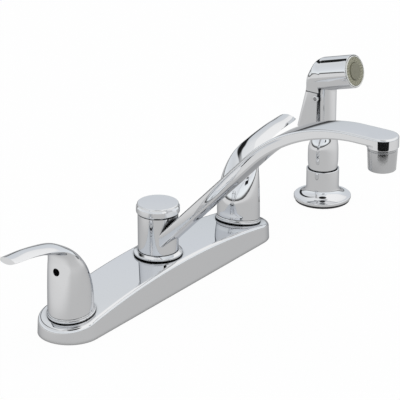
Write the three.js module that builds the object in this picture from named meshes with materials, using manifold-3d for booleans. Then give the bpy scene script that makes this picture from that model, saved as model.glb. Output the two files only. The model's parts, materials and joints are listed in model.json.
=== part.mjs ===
// Two handle kitchen faucet with a side spray, millimetres, +Z up.
// The origin is on the sink deck under the spout hub. +X runs along the deck plate to the right
// handle and -Y is the front, where the spout points. Everything below z = 0 is under the deck.
import * as THREE from 'three';
import { mergeVertices } from 'three/addons/utils/BufferGeometryUtils.js';
import Module from 'manifold-3d';

const wasm = await Module();
wasm.setup();

// ---------------------------------------------------------------------------------------------
// Driving dimensions
// ---------------------------------------------------------------------------------------------

// Fits and facets
const gap = 0.3; // clearance between pieces that rest on or sit in each other
const overshoot = 1; // how far a cutting tool runs past the face that it cuts
const largeSides = 32; // facets round a large round piece
const mediumSides = 20; // facets round a medium round piece
const smallSides = 12; // facets round a small round piece

// Sink deck that the faucet is clamped to
const holeSpacing = 101.6; // 4 in between neighbouring sink holes
const deckThickness = 8;

// Deck plate: a stadium seen from above, arched along X
const plateHalfWidth = 23;
const plateEndShift = 1.6; // the round end's centre lies this far outside the handle's centre
const plateCrest = 22.7; // top of the arch, under the hub
const archRadius = 640;
const plateEdgeRadius = 3;
const plateDraft = 0.4;
const plateWall = 2;
const gasketThickness = 2.5;

// Spout hub, from the plate up
const hubRadius = 14.8;
const hubBottom = 26.7;
const hubTop = 54.6;
const hubRingRadius = 17.9;
const hubRingEdge = 0.75;
const capRadius = 15.9;
const capTopRadius = 15;
const capTop = 62.6;
const capWall = 2;
const capEdge = 1.1;
const postRadius = 10.8;
const postBore = 6.5;
const postFlangeRadius = 14;
const postFlangeThickness = 4;
const postFloor = 2;
const portRadius = 2.4; // water ports from the post into the spout
const portHeight = 41;
const waterRoomRadius = 13; // ring shaped space round the ports, inside the sleeve
const waterRoomHeight = 10;
const diverterStem = 2.5;
const diverterSkirt = 4;
const diverterHeight = 10;
const ringCord = 0.75; // radius of an O-ring's own section
const ringGrooveDepth = 1.7;
const ringStand = 0.4; // how far an O-ring bridges from its groove to the bore
const ringSpacing = 4.4; // the spout's O-rings lie this far from the water room

// Spout blade: a straight rise, an arc and a level end
const spoutReach = 187; // hub axis to aerator axis
const spoutRise = 46; // degrees above level where it leaves the hub
const spoutArcRadius = 115.6;
const spoutArcEnd = 170; // distance from the hub axis at which the arc comes level
const spoutLevel = 153.2; // height of the blade's middle at its level end
const bladeHalfWidth = 11.5;
const bladeHalfThickness = 4.2;
const bladeTipHalfThickness = 3.2;
const bladeCornerRadius = 1.6;
const headRadius = 11;
const headDepth = 8.2;
const channelHalfWidth = 6;
const channelHalfHeight = 1.9;

// Aerator
const aeratorTopRadius = 10.3;
const aeratorBottomRadius = 9.5;
const aeratorHeight = 15.9;
const aeratorNeckRadius = 8;
const aeratorNeckHeight = 4.4;
const aeratorBore = 6.6;
const screenThickness = 2;

// Valve under each handle
const shankRadius = 10.2;
const shankLength = 50;
const shankBore = 6;
const valveFlangeRadius = 14.5;
const valveFlangeThickness = 3.7;
const bossRadius = 10.4;
const bossTop = 10; // above the plate, along the handle's turning axis
const cartridgeBore = 8.2;
const cartridgeFloor = -3;
const seatPocketRadius = 4;
const seatPocketDepth = 5;
const seatPocketWall = 1.2;
const passageRadius = 2.6;
const nutWall = 1.5;
const nutTopThickness = 2.2;
const cartridgeNeckRadius = 6.6;
const cartridgeNeckTop = 14.4;
const stemRadius = 4.4;
const stemFootRadius = 7.4;
const stemFootThickness = 2.6;
const broachRadius = 3.4;
const broachTop = 43;
const seatHeight = 2.1;
const springTurns = 2;
const springWire = 0.3;
const tubeRadius = 4.5;
const tubeBore = 3.5;
const tubeDrop = 5.6; // the tube's middle lies this far below the handle's seat
const tubeEntry = 2.2; // how far a tube reaches into what it joins

// Trim ring under each handle
const trimRadius = 17.4;
const trimStepRadius = 16.7;
const trimStepHeight = 1.4;
const trimHeight = 2.8;
const trimEdge = 0.4; // bevel round the ring's edges

// Handle: a round hood whose top sweeps out into a flat lever
const handleBaseRadius = 16.4;
const hoodHeight = 56; // from the handle's lower rim to where the lever starts
const leverReach = 57;
const leverTipHeight = 67;
const leverHalfWidth = 8;
const leverTipThickness = 4.6;
const handleWall = 1.7;
const broachSleeveWall = 2.4;
const broachSleeveBottom = 16;
const setScrewHeight = 37.4;
const setScrewRadius = 2.5;
const setScrewLength = 4.5;
const setScrewSocketRadius = 1.5;
const setScrewSocketDepth = 2;

// Washers and nuts below the deck
const washerThickness = 2.5;
const washerRadius = 17;
const mountingNutHeight = 9;
const mountingNutRadius = 14;
const wingLength = 24;
const wingWidth = 5;

// Spray outlet below the hub
const outletRadius = 7.5;
const outletBore = 4.6;
const outletLength = 30;

// Side spray's holder
const sprayX = 2 * holeSpacing;
const sprayY = -10.7;
const holderFlangeRadius = 22.6;
const holderFlangeEdge = 2.6;
const holderFlareHeight = 8;
const holderRadius = 12.9;
const holderTop = 26.7;
const holderWall = 1.6;
const holderEdge = 0.5; // bevel round the holder's edges
const cupFloor = 8.3;
const holderShankRadius = 12.6;
const holderShankLength = 34;
const hoseBore = 8.6;
const holderGasketThickness = 1.3;
const holderNutRadius = 20;
const holderNutHeight = 10;

// Side spray
const sprayGripRadius = 12;
const sprayGripTop = 45;
const gripSwell = 6; // height over which the grip widens to its full radius
const tailLift = 4; // the tail's end above the cup's floor
const tailChamfer = 0.5;
const neckHalfWidth = 7.2;
const neckHalfDepth = 7.4;
const neckShift = -2.6; // the neck stands this far in front of the spray's axis
const neckLength = 52.3; // from the nozzle's middle down to where the neck starts to widen
const nozzleTilt = 15.5; // degrees that the nozzle points above level
const nozzleReach = 27; // nozzle face in front of the spray's axis
const nozzleHeight = 112.3;
const barrelRadius = 13;
const elbowFront = 0.9; // behind the spray's axis, where the barrel turns into the elbow
const elbowCorner = 6.2; // behind the spray's axis, where the elbow's top would meet its back
const elbowRound = 5.5; // along the top and the back from that corner
const elbowEdge = 0.6; // bevel of the elbow's front edges
const faceRecessRadius = 12.3;
const faceRecessDepth = 5;
const bezelWidth = 0.6;
const faceRingInner = 7;
const bezelStand = 0.9; // out of the barrel, as the next two
const faceStand = 0.4;
const centreStand = 1.3;
const sprayBore = 3;
const nippleRadius = 6;
const nippleBore = 3.6;
const nippleTail = 14; // below the deck's surface
const nippleTop = 20;

// Trigger lever, its pin and its plunger
const shoulderDrop = 21.3; // the elbow's lower end below the nozzle's middle, as the next two
const pinDrop = 26.3;
const plungerDrop = 40.3;
const triggerSeam = 0.4; // between the shoulder and the trigger
const triggerHalfWidth = 9;
const triggerFlare = 0.6; // extra half width at the lower end
const triggerBackTop = 13.3;
const triggerBackBottom = 20.2;
const triggerFront = 1.2;
const triggerWall = 1.4;
const triggerCornerRadius = 4;
const pinRadius = 1.1;
const pinY = 2.6;
const pinEarRadius = 2.6;
const pinEarStand = 0.4; // out of the trigger's sides
const plungerRadius = 1.8;
const plungerHeadRadius = 3.2;
const plungerHeadThickness = 1.2;

// ---------------------------------------------------------------------------------------------
// Places worked out from the driving dimensions
// ---------------------------------------------------------------------------------------------

const handleX = holeSpacing;
const plateTop = (x) => plateCrest - archRadius + Math.sqrt(archRadius ** 2 - x ** 2);
const handleSeat = plateTop(handleX);
const handleLean = Math.asin(handleX / archRadius);
const plateEndX = handleX + plateEndShift;
const tubeHeight = handleSeat - tubeDrop;
const trimTop = gap + trimHeight;
const handleBase = trimTop + gap;
const bodyBottom = gasketThickness + gap;
const hubRingBottom = plateCrest + gap;
const hubRingTop = hubBottom - gap;
const hubBore = postRadius + ringStand;
const waterRoomBottom = portHeight - waterRoomHeight / 2;
const waterRoomTop = portHeight + waterRoomHeight / 2;
const capBottom = hubTop + gap;
const headTop = spoutLevel + bladeTipHalfThickness;
const headBottom = headTop - headDepth;
const aeratorTop = headBottom - gap;
const aeratorBottom = aeratorTop - aeratorHeight;
const nutBore = bossRadius + gap;
const nutRadius = nutBore + nutWall;
const nutBottom = handleBase;
const nutTop = bossTop + gap + nutTopThickness;
const holderBore = holderRadius - holderWall;
const tailRadius = holderBore - gap;
const nozzleLean = THREE.MathUtils.degToRad(nozzleTilt);
const neckBottom = nozzleHeight - neckLength;
const shoulderZ = nozzleHeight - shoulderDrop;
const triggerTop = shoulderZ - triggerSeam;
const triggerBottom = neckBottom;
const pinZ = nozzleHeight - pinDrop;
const plungerZ = nozzleHeight - plungerDrop;

// ---------------------------------------------------------------------------------------------
// Shape helpers
// ---------------------------------------------------------------------------------------------

// A closed mesh as a solid for joining and cutting, turned outward if it was inside out.
function solid(geometry) {
  const bare = geometry.clone();
  bare.deleteAttribute('normal');
  bare.deleteAttribute('uv');
  const welded = mergeVertices(bare, 1e-4);
  const points = welded.attributes.position.array;
  const corners = [];
  for (let i = 0; i < welded.index.count; i += 3) {
    const [a, b, c] = welded.index.array.slice(i, i + 3);
    if (a !== b && b !== c && c !== a) {
      corners.push([a, b, c]);
    }
  }
  const at = (i) => new THREE.Vector3().fromArray(points, 3 * i);
  const volume = corners.reduce((sum, [a, b, c]) => sum + at(a).dot(at(b).cross(at(c))), 0);
  const outward = volume < 0 ? corners.map(([a, b, c]) => [a, c, b]) : corners;
  return new wasm.Manifold(new wasm.Mesh({
    numProp: 3,
    vertProperties: new Float32Array(points),
    triVerts: new Uint32Array(outward.flat()),
  }));
}

function geometryOf(body) {
  const { vertProperties, triVerts } = body.getMesh();
  const geometry = new THREE.BufferGeometry();
  geometry.setAttribute('position', new THREE.Float32BufferAttribute(vertProperties, 3));
  geometry.setIndex(Array.from(triVerts));
  geometry.computeVertexNormals();
  return geometry;
}

const join = (...bodies) => bodies.reduce((sum, body) => sum.add(body));
const cut = (body, ...tools) => tools.reduce((rest, tool) => rest.subtract(tool), body);

// A profile of [radius, height] points turned round Z.
function revolved(profile, sides = mediumSides) {
  const points = profile.map(([radius, height]) => new THREE.Vector2(radius, height));
  return new THREE.LatheGeometry(points, sides).rotateX(Math.PI / 2);
}

// A ring-shaped profile, closed on itself.
const revolvedRing = (profile, sides) => revolved([...profile, profile[0]], sides);

function cylinderZ(radius, bottom, top, sides = mediumSides) {
  return new THREE.CylinderGeometry(radius, radius, top - bottom, sides)
    .rotateX(Math.PI / 2)
    .translate(0, 0, (bottom + top) / 2);
}

function cylinderX(radius, from, to, y, z, sides = smallSides) {
  return new THREE.CylinderGeometry(radius, radius, to - from, sides)
    .rotateZ(Math.PI / 2)
    .translate((from + to) / 2, y, z);
}

function cylinderY(radius, from, to, x, z, sides = smallSides) {
  return new THREE.CylinderGeometry(radius, radius, to - from, sides)
    .translate(x, (from + to) / 2, z);
}

function tubeZ(outer, inner, bottom, top, sides = mediumSides) {
  return revolvedRing([[inner, bottom], [outer, bottom], [outer, top], [inner, top]], sides);
}

// An O-ring: a round cord bent into a circle.
function roundRing(radius, cord, height, sides = mediumSides) {
  return new THREE.TorusGeometry(radius, cord, 6, sides).translate(0, 0, height);
}

// Rings of points, each with as many points, skinned into one closed body with fan ends.
function loft(rings) {
  const count = rings[0].length;
  const points = rings.flat();
  const corners = [];
  for (let k = 0; k + 1 < rings.length; k += 1) {
    for (let i = 0; i < count; i += 1) {
      const j = (i + 1) % count;
      const [a, b] = [k * count + i, k * count + j];
      corners.push(a, b, b + count, a, b + count, a + count);
    }
  }
  const ends = [[0, true], [rings.length - 1, false]];
  for (const [k, isFirst] of ends) {
    const middle = rings[k].reduce((sum, p) => sum.add(p), new THREE.Vector3());
    points.push(middle.divideScalar(count));
    for (let i = 0; i < count; i += 1) {
      const [a, b] = [k * count + i, k * count + ((i + 1) % count)];
      corners.push(points.length - 1, ...(isFirst ? [b, a] : [a, b]));
    }
  }
  return indexed(points, corners);
}

function indexed(points, corners) {
  const geometry = new THREE.BufferGeometry();
  geometry.setAttribute(
    'position',
    new THREE.Float32BufferAttribute(points.flatMap((p) => p.toArray()), 3),
  );
  geometry.setIndex(corners);
  return geometry;
}

// A compression spring as one unbroken wire along Z.
function coilSpring(radius, wire, bottom, top, turns) {
  const steps = 6 * turns;
  const path = [];
  for (let i = 0; i <= steps; i += 1) {
    const angle = (i / steps) * turns * 2 * Math.PI;
    const height = bottom + wire + (i / steps) * (top - bottom - 2 * wire);
    path.push(new THREE.Vector3(radius * Math.cos(angle), radius * Math.sin(angle), height));
  }
  const section = new THREE.Shape(
    Array.from({ length: 4 }, (_, i) => {
      const angle = (i / 4) * 2 * Math.PI;
      return new THREE.Vector2(wire * Math.cos(angle), wire * Math.sin(angle));
    }),
  );
  return new THREE.ExtrudeGeometry(section, {
    steps,
    extrudePath: new THREE.CatmullRomCurve3(path),
  });
}

// ---------------------------------------------------------------------------------------------
// Finishes
// ---------------------------------------------------------------------------------------------

const finish = (color, roughness, metalness) =>
  new THREE.MeshStandardMaterial({ color, roughness, metalness });
const finishes = {
  chrome: finish(0xd4d7db, 0.06, 1),
  brass: finish(0xc2a35b, 0.35, 1),
  copper: finish(0xb8724a, 0.35, 1),
  steel: finish(0x9a9da1, 0.3, 1),
  rubber: finish(0x1c1c1e, 0.85, 0),
  blackPlastic: finish(0x26272a, 0.5, 0),
  whitePlastic: finish(0xe9e9e4, 0.4, 0),
  greyRubber: finish(0xa3a298, 0.7, 0),
  greyPlastic: finish(0x8f8d82, 0.5, 0),
};

const faucet = new THREE.Group();
const valveGroups = {};
for (const [side, sign] of [['left', -1], ['right', 1]]) {
  const group = new THREE.Group();
  group.position.set(sign * handleX, 0, handleSeat);
  group.rotation.y = sign * handleLean;
  valveGroups[side] = group;
  faucet.add(group);
}
const sprayGroup = new THREE.Group();
sprayGroup.position.set(sprayX, sprayY, 0);
faucet.add(sprayGroup);
const barrelGroup = new THREE.Group();
barrelGroup.position.set(0, -nozzleReach, nozzleHeight);
barrelGroup.rotation.x = Math.PI / 2 - nozzleLean;
sprayGroup.add(barrelGroup);

function place(name, shape, material, group = faucet) {
  const geometry = shape instanceof THREE.BufferGeometry ? shape : geometryOf(shape);
  const mesh = new THREE.Mesh(geometry, finishes[material]);
  mesh.name = name;
  group.add(mesh);
}

// ---------------------------------------------------------------------------------------------
// Deck plate and its gasket
// ---------------------------------------------------------------------------------------------

// Half of the stadium outline, from the left tip along the front to the right tip.
function frontOutline(inset) {
  const radius = plateHalfWidth - inset;
  const endSteps = 8;
  const straightSteps = 12;
  const outline = [];
  for (let i = 0; i < endSteps; i += 1) {
    const angle = Math.PI * (1 + i / (2 * endSteps));
    outline.push([-plateEndX + radius * Math.cos(angle), radius * Math.sin(angle)]);
  }
  for (let i = 0; i <= straightSteps; i += 1) {
    outline.push([-plateEndX + (2 * plateEndX * i) / straightSteps, -radius]);
  }
  for (let i = 1; i <= endSteps; i += 1) {
    const angle = Math.PI * (1.5 + i / (2 * endSteps));
    outline.push([plateEndX + radius * Math.cos(angle), radius * Math.sin(angle)]);
  }
  return outline;
}

// One full ring of the outline at a height that may depend on x.
function plateRing(inset, heightAt) {
  const front = frontOutline(inset);
  const back = front.slice(1, -1).reverse().map(([x, y]) => [x, -y]);
  return [...front, ...back].map(([x, y]) => new THREE.Vector3(x, y, heightAt(x)));
}

// Stacked rings, closed below and above by strips that run across the plate.
function plateSolid(rings) {
  const count = rings[0].length;
  const half = count / 2;
  const corners = [];
  for (let k = 0; k + 1 < rings.length; k += 1) {
    for (let i = 0; i < count; i += 1) {
      const [a, b] = [k * count + i, k * count + ((i + 1) % count)];
      corners.push(a, b, b + count, a, b + count, a + count);
    }
  }
  for (const [k, isBottom] of [[0, true], [rings.length - 1, false]]) {
    const first = k * count;
    for (let i = 0; i < half; i += 1) {
      const [a, b] = [first + i, first + i + 1];
      const [c, d] = [first + count - i - 1, first + ((count - i) % count)];
      const strip = b === c ? [[a, b, d]] : [[a, b, c], [a, c, d]];
      for (const [p, q, r] of strip) {
        corners.push(...(isBottom ? [p, r, q] : [p, q, r]));
      }
    }
  }
  return solid(indexed(rings.flat(), corners));
}

function archedBlock(inset, bottom, drop, edgeRadius, draft) {
  const rings = [plateRing(inset, () => bottom)];
  const edgeSteps = 3;
  for (let i = 0; i <= edgeSteps; i += 1) {
    const angle = (i / edgeSteps) * (Math.PI / 2);
    const stepIn = edgeRadius * (1 - Math.cos(angle));
    const stepDown = edgeRadius * (1 - Math.sin(angle));
    rings.push(plateRing(inset + draft + stepIn, (x) => plateTop(x) - drop - stepDown));
  }
  return plateSolid(rings);
}

function leaning(geometry, sign) {
  return geometry
    .rotateY(sign * handleLean)
    .translate(sign * handleX, 0, handleSeat);
}

function makeDeckPlate() {
  const shell = archedBlock(0, 0, 0, plateEdgeRadius, plateDraft);
  const hollow = archedBlock(plateWall, -overshoot, plateWall, plateEdgeRadius - plateWall, plateDraft);
  const bossHole = bossRadius + gap;
  const bossHoles = [-1, 1].map((sign) =>
    solid(leaning(cylinderZ(bossHole, -plateCrest, plateCrest), sign)));
  const postHole = solid(cylinderZ(postRadius + gap, 0, plateCrest + overshoot));
  return cut(shell, hollow, ...bossHoles, postHole);
}

function makeDeckGasket() {
  const inset = plateWall + gap;
  const sheet = plateSolid([plateRing(inset, () => 0), plateRing(inset, () => gasketThickness)]);
  const holes = [-handleX, 0, handleX].map((x) => solid(
    cylinderZ(shankRadius + gap, -overshoot, gasketThickness + overshoot).translate(x, 0, 0)));
  return cut(sheet, ...holes);
}

place('deck_plate', makeDeckPlate(), 'chrome');
place('deck_gasket', makeDeckGasket(), 'blackPlastic');

// ---------------------------------------------------------------------------------------------
// Valves under the handles
// ---------------------------------------------------------------------------------------------

// Brass body: an upright threaded shank through the sink, and a boss that leans with the handle.
function makeValveBody(sign) {
  const shank = solid(cylinderZ(shankRadius, -shankLength, bodyBottom + overshoot));
  const flange = solid(
    cylinderZ(valveFlangeRadius, bodyBottom, bodyBottom + valveFlangeThickness, largeSides));
  const upright = join(shank, flange);
  const toLocal = (geometry) => leaning(geometry, sign).translate(-sign * handleX, 0, 0);
  const bossBottom = bodyBottom + valveFlangeThickness / 2 - handleSeat;
  const boss = solid(toLocal(cylinderZ(bossRadius, bossBottom, bossTop)));
  const portEnd = seatPocketRadius + seatPocketWall;
  const portMouth = valveFlangeRadius + overshoot;
  const [portFrom, portTo] = sign > 0 ? [-portMouth, -portEnd] : [portEnd, portMouth];
  const pocketFloor = cartridgeFloor - seatPocketDepth;
  return cut(
    join(upright, boss),
    solid(cylinderZ(shankBore, -shankLength - overshoot, 0)),
    solid(cylinderZ(passageRadius, -overshoot, handleSeat + pocketFloor + overshoot, smallSides)),
    solid(toLocal(cylinderZ(seatPocketRadius, pocketFloor, cartridgeFloor + overshoot, smallSides))),
    solid(toLocal(cylinderZ(cartridgeBore, cartridgeFloor, bossTop + overshoot))),
    solid(cylinderX(tubeRadius + gap, portFrom, portTo, 0, tubeHeight)),
  );
}

// Round nut that screws over the boss and holds the cartridge down.
function makeBonnetNut() {
  const webBottom = bossTop + gap;
  return revolvedRing([
    [nutBore, nutBottom],
    [nutRadius, nutBottom],
    [nutRadius, nutTop - 0.8],
    [nutRadius - 0.8, nutTop],
    [cartridgeNeckRadius + gap, nutTop],
    [cartridgeNeckRadius + gap, webBottom],
    [nutBore, webBottom],
  ]);
}

// Fixed sleeve of the cartridge, in which the stem turns.
function makeCartridge() {
  const bottom = cartridgeFloor + gap + stemFootThickness + gap;
  const bodyRadius = cartridgeBore - gap;
  return revolvedRing([
    [stemRadius + gap, bottom],
    [bodyRadius, bottom],
    [bodyRadius, bossTop],
    [cartridgeNeckRadius, bossTop],
    [cartridgeNeckRadius, cartridgeNeckTop],
    [stemRadius + gap, cartridgeNeckTop],
  ]);
}

// Stem with its foot on the seat and its long broach up inside the handle.
const stemGrooveHeight = 7;
function makeStem() {
  const bottom = cartridgeFloor + gap;
  const footTop = bottom + stemFootThickness;
  const grooveFloor = stemRadius - ringGrooveDepth;
  const grooveHalf = ringCord + gap;
  return revolved([
    [0, bottom],
    [stemFootRadius, bottom],
    [stemFootRadius, footTop],
    [stemRadius, footTop],
    [stemRadius, stemGrooveHeight - grooveHalf],
    [grooveFloor, stemGrooveHeight - grooveHalf],
    [grooveFloor, stemGrooveHeight + grooveHalf],
    [stemRadius, stemGrooveHeight + grooveHalf],
    [stemRadius, cartridgeNeckTop],
    [broachRadius, cartridgeNeckTop],
    [broachRadius, broachTop],
    [0, broachTop],
  ], smallSides);
}

function makeValveSeat() {
  const top = cartridgeFloor;
  return tubeZ(seatPocketRadius - gap, passageRadius - gap, top - seatHeight, top, smallSides);
}

function makeTrimRing() {
  const inner = bossRadius + gap;
  return revolvedRing([
    [inner, gap],
    [trimRadius - trimEdge, gap],
    [trimRadius, gap + trimEdge],
    [trimRadius, gap + trimStepHeight - trimEdge],
    [trimRadius - trimEdge, gap + trimStepHeight],
    [trimStepRadius, gap + trimStepHeight],
    [trimStepRadius, trimTop - trimEdge],
    [trimStepRadius - trimEdge, trimTop],
    [inner, trimTop],
  ], largeSides);
}

// The water tube under the plate, from a valve to the spout post.
function makeWaterwayTube(sign) {
  const from = postRadius - tubeEntry;
  const to = handleX - bossRadius + tubeEntry;
  const start = sign > 0 ? from : -to;
  const end = sign > 0 ? to : -from;
  return cut(
    solid(cylinderX(tubeRadius, start, end, 0, tubeHeight)),
    solid(cylinderX(tubeBore, start - overshoot, end + overshoot, 0, tubeHeight)),
  );
}

// ---------------------------------------------------------------------------------------------
// Handles
// ---------------------------------------------------------------------------------------------

// The handle is skinned over rings that fan from its round lower rim to the lever's flat tip.
// Each station gives the ring's point on the wall below the lever, its point on the back and
// crown, its half width and how sharp its two edges are (1 is an ellipse, 2 a pointed lens).
// Distances run outward from the turning axis, and heights run from the lower rim.
function handleStations() {
  const r = handleBaseRadius;
  const h = hoodHeight;
  const rise = leverTipHeight - h * 0.93;
  const out = (part) => leverReach * part;
  const up = (part) => h * 0.93 + rise * part;
  const w = leverHalfWidth;
  const tip = up(0.97);
  return [
    { wall: [r, 0], back: [-r, 0], half: r, edge: 1 },
    { wall: [r * 0.98, h * 0.04], back: [-r * 1.01, h * 0.03], half: r, edge: 1 },
    { wall: [r * 0.92, h * 0.14], back: [-r * 1.05, h * 0.1], half: r, edge: 1 },
    { wall: [r * 0.76, h * 0.38], back: [-r * 1.06, h * 0.28], half: r * 0.98, edge: 1 },
    { wall: [r * 0.62, h * 0.59], back: [-r * 0.93, h * 0.49], half: r * 0.91, edge: 1 },
    { wall: [r * 0.53, h * 0.73], back: [-r * 0.68, h * 0.66], half: r * 0.82, edge: 1.05 },
    { wall: [r * 0.54, h * 0.84], back: [-r * 0.32, h * 0.81], half: r * 0.71, edge: 1.1 },
    { wall: [r * 0.7, h * 0.9], back: [r * 0.14, h * 0.93], half: r * 0.62, edge: 1.2 },
    { wall: [out(0.3), up(0.02)], back: [out(0.18), up(0.36)], half: w * 1.16, edge: 1.35 },
    { wall: [out(0.45), up(0.3)], back: [out(0.39), up(0.68)], half: w * 1.06, edge: 1.5 },
    { wall: [out(0.67), up(0.6)], back: [out(0.63), up(0.97)], half: w * 1.01, edge: 1.6 },
    { wall: [out(0.87), up(0.83)], back: [out(0.855), up(1.15)], half: w, edge: 1.6 },
    { wall: [leverReach, tip], back: [out(0.98), tip + leverTipThickness], half: w * 0.93, edge: 1.6 },
  ];
}

// A smooth curve through one value of every station.
function smoothValues(values, parts) {
  const curve = new THREE.CatmullRomCurve3(values.map((v) => new THREE.Vector3(v, 0, 0)));
  curve.curveType = 'catmullrom';
  return parts.map((t) => curve.getPoint(t).x);
}

const handleRingCount = 22;

function handleRings(sign, inset, lastRing) {
  const stations = handleStations();
  const ringPoints = 20;
  const parts = Array.from({ length: lastRing + 1 }, (_, i) => i / handleRingCount);
  const wallX = smoothValues(stations.map((s) => s.wall[0] - inset), parts);
  const wallZ = smoothValues(stations.map((s) => s.wall[1]), parts);
  const backX = smoothValues(stations.map((s) => s.back[0] + inset), parts);
  const backZ = smoothValues(stations.map((s) => s.back[1]), parts);
  const half = smoothValues(stations.map((s) => s.half - inset), parts);
  const edge = smoothValues(stations.map((s) => s.edge), parts);
  return parts.map((_, k) => Array.from({ length: ringPoints }, (_unused, i) => {
    const angle = (i / ringPoints) * 2 * Math.PI;
    const across = Math.sign(Math.cos(angle)) * Math.abs(Math.cos(angle)) ** edge[k];
    const x = (wallX[k] + backX[k]) / 2 + ((wallX[k] - backX[k]) / 2) * across;
    const z = (wallZ[k] + backZ[k]) / 2 + ((wallZ[k] - backZ[k]) / 2) * across;
    return new THREE.Vector3(sign * x, half[k] * Math.sin(angle), handleBase + z);
  }));
}

// The hollow under the handle: the same rings, a wall's thickness smaller, up to mid height.
function handleHollow(sign) {
  const lastRing = Math.round(handleRingCount / 3);
  const rings = handleRings(sign, handleWall, lastRing);
  const mouth = rings[0].map((p) => new THREE.Vector3(p.x, p.y, p.z - overshoot));
  return solid(loft([mouth, ...rings]));
}

function makeHandle(sign) {
  const screwHole = sign > 0 ? [0, handleBaseRadius] : [-handleBaseRadius, 0];
  const sleeveRadius = broachRadius + gap + broachSleeveWall;
  const sleeve = solid(cylinderZ(sleeveRadius, broachSleeveBottom, setScrewHeight, smallSides));
  const shell = cut(solid(loft(handleRings(sign, 0, handleRingCount))), handleHollow(sign));
  return cut(
    join(shell, sleeve),
    solid(cylinderZ(broachRadius + gap, 0, broachTop + gap, smallSides)),
    solid(cylinderX(setScrewRadius + gap, ...screwHole, 0, setScrewHeight)),
  );
}

function makeSetScrew(sign) {
  const inner = broachRadius + gap;
  const outer = inner + setScrewLength;
  const socket = outer - setScrewSocketDepth;
  const span = (from, to) => (sign > 0 ? [from, to] : [-to, -from]);
  return cut(
    solid(cylinderX(setScrewRadius, ...span(inner, outer), 0, setScrewHeight)),
    solid(cylinderX(
      setScrewSocketRadius, ...span(socket, outer + overshoot), 0, setScrewHeight, 6)),
  );
}

// ---------------------------------------------------------------------------------------------
// Below the deck
// ---------------------------------------------------------------------------------------------

function makeMountingNut() {
  const top = -deckThickness - 2 * gap - washerThickness;
  const bottom = top - mountingNutHeight;
  const wings = new THREE.BoxGeometry(2 * wingLength, wingWidth, mountingNutHeight * 0.7)
    .translate(0, 0, top - mountingNutHeight * 0.35);
  return cut(
    join(solid(cylinderZ(mountingNutRadius, bottom, top)), solid(wings)),
    solid(cylinderZ(shankRadius + gap, bottom - overshoot, top + overshoot)),
  );
}

function makeMountingWasher() {
  const top = -deckThickness - gap;
  return tubeZ(washerRadius, shankRadius + gap, top - washerThickness, top);
}

for (const [side, sign] of [['left', -1], ['right', 1]]) {
  const upright = new THREE.Group();
  upright.position.x = sign * handleX;
  faucet.add(upright);
  const leaningGroup = valveGroups[side];
  const springBottom = cartridgeFloor - seatPocketDepth + gap;
  const springTop = cartridgeFloor - seatHeight - gap;
  const springRadius = seatPocketRadius - gap - springWire;
  const springShape = coilSpring(springRadius, springWire, springBottom, springTop, springTurns);
  const stemRing = roundRing(stemRadius + gap - 0.2 - ringCord, ringCord, stemGrooveHeight, smallSides);
  place(`valve_body_${side}`, makeValveBody(sign), 'brass', upright);
  place(`seat_spring_${side}`, springShape, 'steel', leaningGroup);
  place(`valve_seat_${side}`, makeValveSeat(), 'rubber', leaningGroup);
  place(`cartridge_${side}`, makeCartridge(), 'whitePlastic', leaningGroup);
  place(`stem_${side}`, makeStem(), 'brass', leaningGroup);
  place(`stem_o_ring_${side}`, stemRing, 'rubber', leaningGroup);
  place(`bonnet_nut_${side}`, makeBonnetNut(), 'brass', leaningGroup);
  place(`handle_ring_${side}`, makeTrimRing(), 'chrome', leaningGroup);
  place(`handle_${side}`, makeHandle(sign), 'chrome', leaningGroup);
  place(`set_screw_${side}`, makeSetScrew(sign), 'steel', leaningGroup);
  place(`waterway_tube_${side}`, makeWaterwayTube(sign), 'copper');
  place(`mounting_washer_${side}`, makeMountingWasher(), 'steel', upright);
  place(`mounting_nut_${side}`, makeMountingNut(), 'blackPlastic', upright);
}

// ---------------------------------------------------------------------------------------------
// Spout hub
// ---------------------------------------------------------------------------------------------

const postTop = capTop - capWall - gap;
const ringHeights = [waterRoomBottom - ringSpacing, waterRoomTop + ringSpacing];

// Brass post that feeds the spout, holds its O-rings and takes the cap's thread.
function makeSpoutPost() {
  const grooveHalf = ringCord + gap;
  const grooves = ringHeights.map((height) => solid(tubeZ(
    postRadius + overshoot, postRadius - ringGrooveDepth, height - grooveHalf, height + grooveHalf)));
  const reach = postFlangeRadius + overshoot;
  const floor = bodyBottom + postFloor;
  return cut(
    join(
      solid(cylinderZ(postRadius, bodyBottom, postTop)),
      solid(cylinderZ(postFlangeRadius, bodyBottom, bodyBottom + postFlangeThickness)),
    ),
    solid(cylinderZ(postBore, floor, postTop + overshoot)),
    solid(cylinderZ(outletBore, bodyBottom - overshoot, floor + overshoot, smallSides)),
    solid(cylinderX(tubeRadius + gap, -reach, reach, 0, tubeHeight)),
    solid(cylinderY(portRadius, -postRadius - overshoot, postRadius + overshoot, 0, portHeight)),
    ...grooves,
  );
}

function makeHubRing() {
  const inner = postRadius + gap;
  const [bottom, top] = [hubRingBottom, hubRingTop];
  return revolvedRing([
    [inner, bottom],
    [hubRingRadius - hubRingEdge, bottom],
    [hubRingRadius, bottom + hubRingEdge],
    [hubRingRadius, bottom + 2 * hubRingEdge],
    [hubRingRadius - hubRingEdge, top - hubRingEdge],
    [hubRingRadius - 3 * hubRingEdge, top],
    [inner, top],
  ], largeSides);
}

function makeSpoutCap() {
  const bore = postRadius + gap;
  const roofHeight = capTop - capWall;
  return revolved([
    [bore, capBottom],
    [capRadius - capEdge, capBottom],
    [capRadius, capBottom + capEdge],
    [capRadius, (capBottom + capTop) / 2],
    [capRadius - capEdge / 5, capTop - 2 * capEdge],
    [capTopRadius, capTop - capEdge / 2],
    [capTopRadius - capEdge / 2, capTop],
    [0, capTop],
    [0, roofHeight],
    [bore, roofHeight],
    [bore, capBottom],
  ], largeSides);
}

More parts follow.
